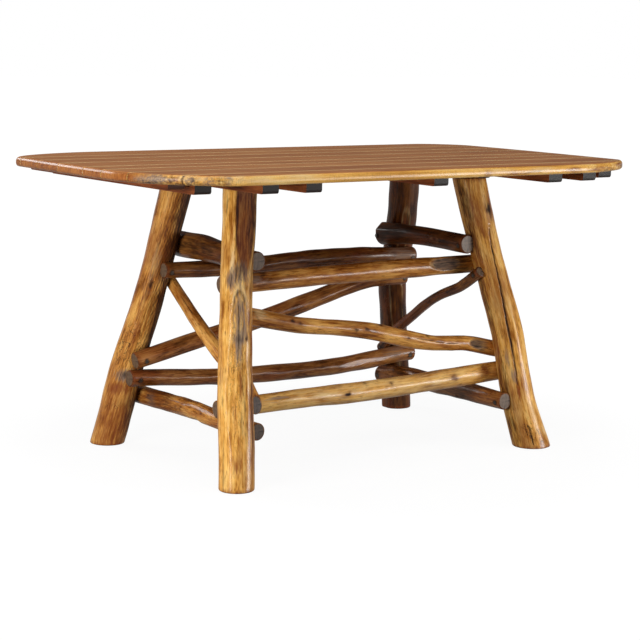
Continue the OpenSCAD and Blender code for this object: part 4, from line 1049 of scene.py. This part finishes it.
world = bpy.data.worlds.new("white_studio")
bpy.context.scene.world = world
world.use_nodes = True
tree = world.node_tree
tree.nodes.clear()
seen, mirrored = kinds_of_ray(tree)
# Lacquer and steel show the white sweep up to the horizon, and the dim studio above it
height = add(tree, "SeparateXYZ", [add(tree, "TexCoord", (), "Generated")], "Z")
low_down = add(tree, "MapRange", [height, 0.05, 0.0])
sweep = add(tree, "Math", [mirrored, low_down], operation="MULTIPLY")
seen = add(tree, "Math", [seen, sweep], operation="MAXIMUM")
dim = add(tree, "Math", [mirrored, -0.28, 0.34], operation="MULTIPLY_ADD")
soft, white = [add(tree, "Background", {"Color": (1, 1, 1, 1), "Strength": strength}) for strength in (dim, 1.0)]
add(tree, "OutputWorld", [add(tree, "MixShader", [seen, soft, white])])


def softbox(name, place, target, width, height, power, mirrored=True):
    """A rectangular area light, in metres and watts, that looks at a point. Lacquer mirrors it unless told not to."""
    light = bpy.data.lights.new(name, "AREA")
    light.shape = "RECTANGLE"
    light.size, light.size_y, light.energy = width, height, power
    lamp = bpy.data.objects.new(name, light)
    lamp.location = place
    lamp.visible_camera = False
    lamp.visible_glossy = mirrored
    lamp.rotation_euler = (Vector(target) - Vector(place)).to_track_quat("-Z", "Y").to_euler()
    bpy.context.scene.collection.objects.link(lamp)


softbox("left_softbox", (-2.3, -0.55, 0.39), (-0.2, -0.1, 0.45), 0.9, 0.66, 23, False)
softbox("left_front_softbox", (-2.6, -1.05, 1.0), (-0.2, -0.1, 0.45), 0.22, 1.0, 13)
softbox("right_softbox", (1.6, -1.35, 0.39), (0.35, -0.1, 0.4), 0.5, 0.66, 4)
softbox("fill_softbox", (2.0, -2.4, 0.39), (0.2, -0.1, 0.45), 1.2, 0.66, 35)
softbox("top_softbox", (-0.6, -0.9, 3.0), (0, 0, 0.7), 2.6, 1.8, 31)
softbox("back_softbox", (-1.3, 2.75, 2.05), (0, 0, 0.7), 1.6, 0.8, 26)

CAMERA_PLACE = (-2.8886, -3.938, 1.0784)
YAW, PITCH, ROLL = 0.6302, 0.1524, 0.0203
forward = Vector((math.sin(YAW) * math.cos(PITCH), math.cos(YAW) * math.cos(PITCH), -math.sin(PITCH)))
right = Vector((math.cos(YAW), -math.sin(YAW), 0))
upward = right.cross(forward)
tilted_right = right * math.cos(ROLL) + upward * math.sin(ROLL)
tilted_up = upward * math.cos(ROLL) - right * math.sin(ROLL)
lens = bpy.data.cameras.new("studio_camera")
lens.sensor_width, lens.lens, lens.clip_end = 36, 106.76, 200
camera = bpy.data.objects.new("studio_camera", lens)
camera.matrix_world = Matrix.Translation(CAMERA_PLACE) @ Matrix(
    (tilted_right, tilted_up, -forward)
).transposed().to_4x4()
bpy.context.scene.collection.objects.link(camera)
bpy.context.scene.camera = camera
bpy.context.scene.view_settings.view_transform = "Standard"
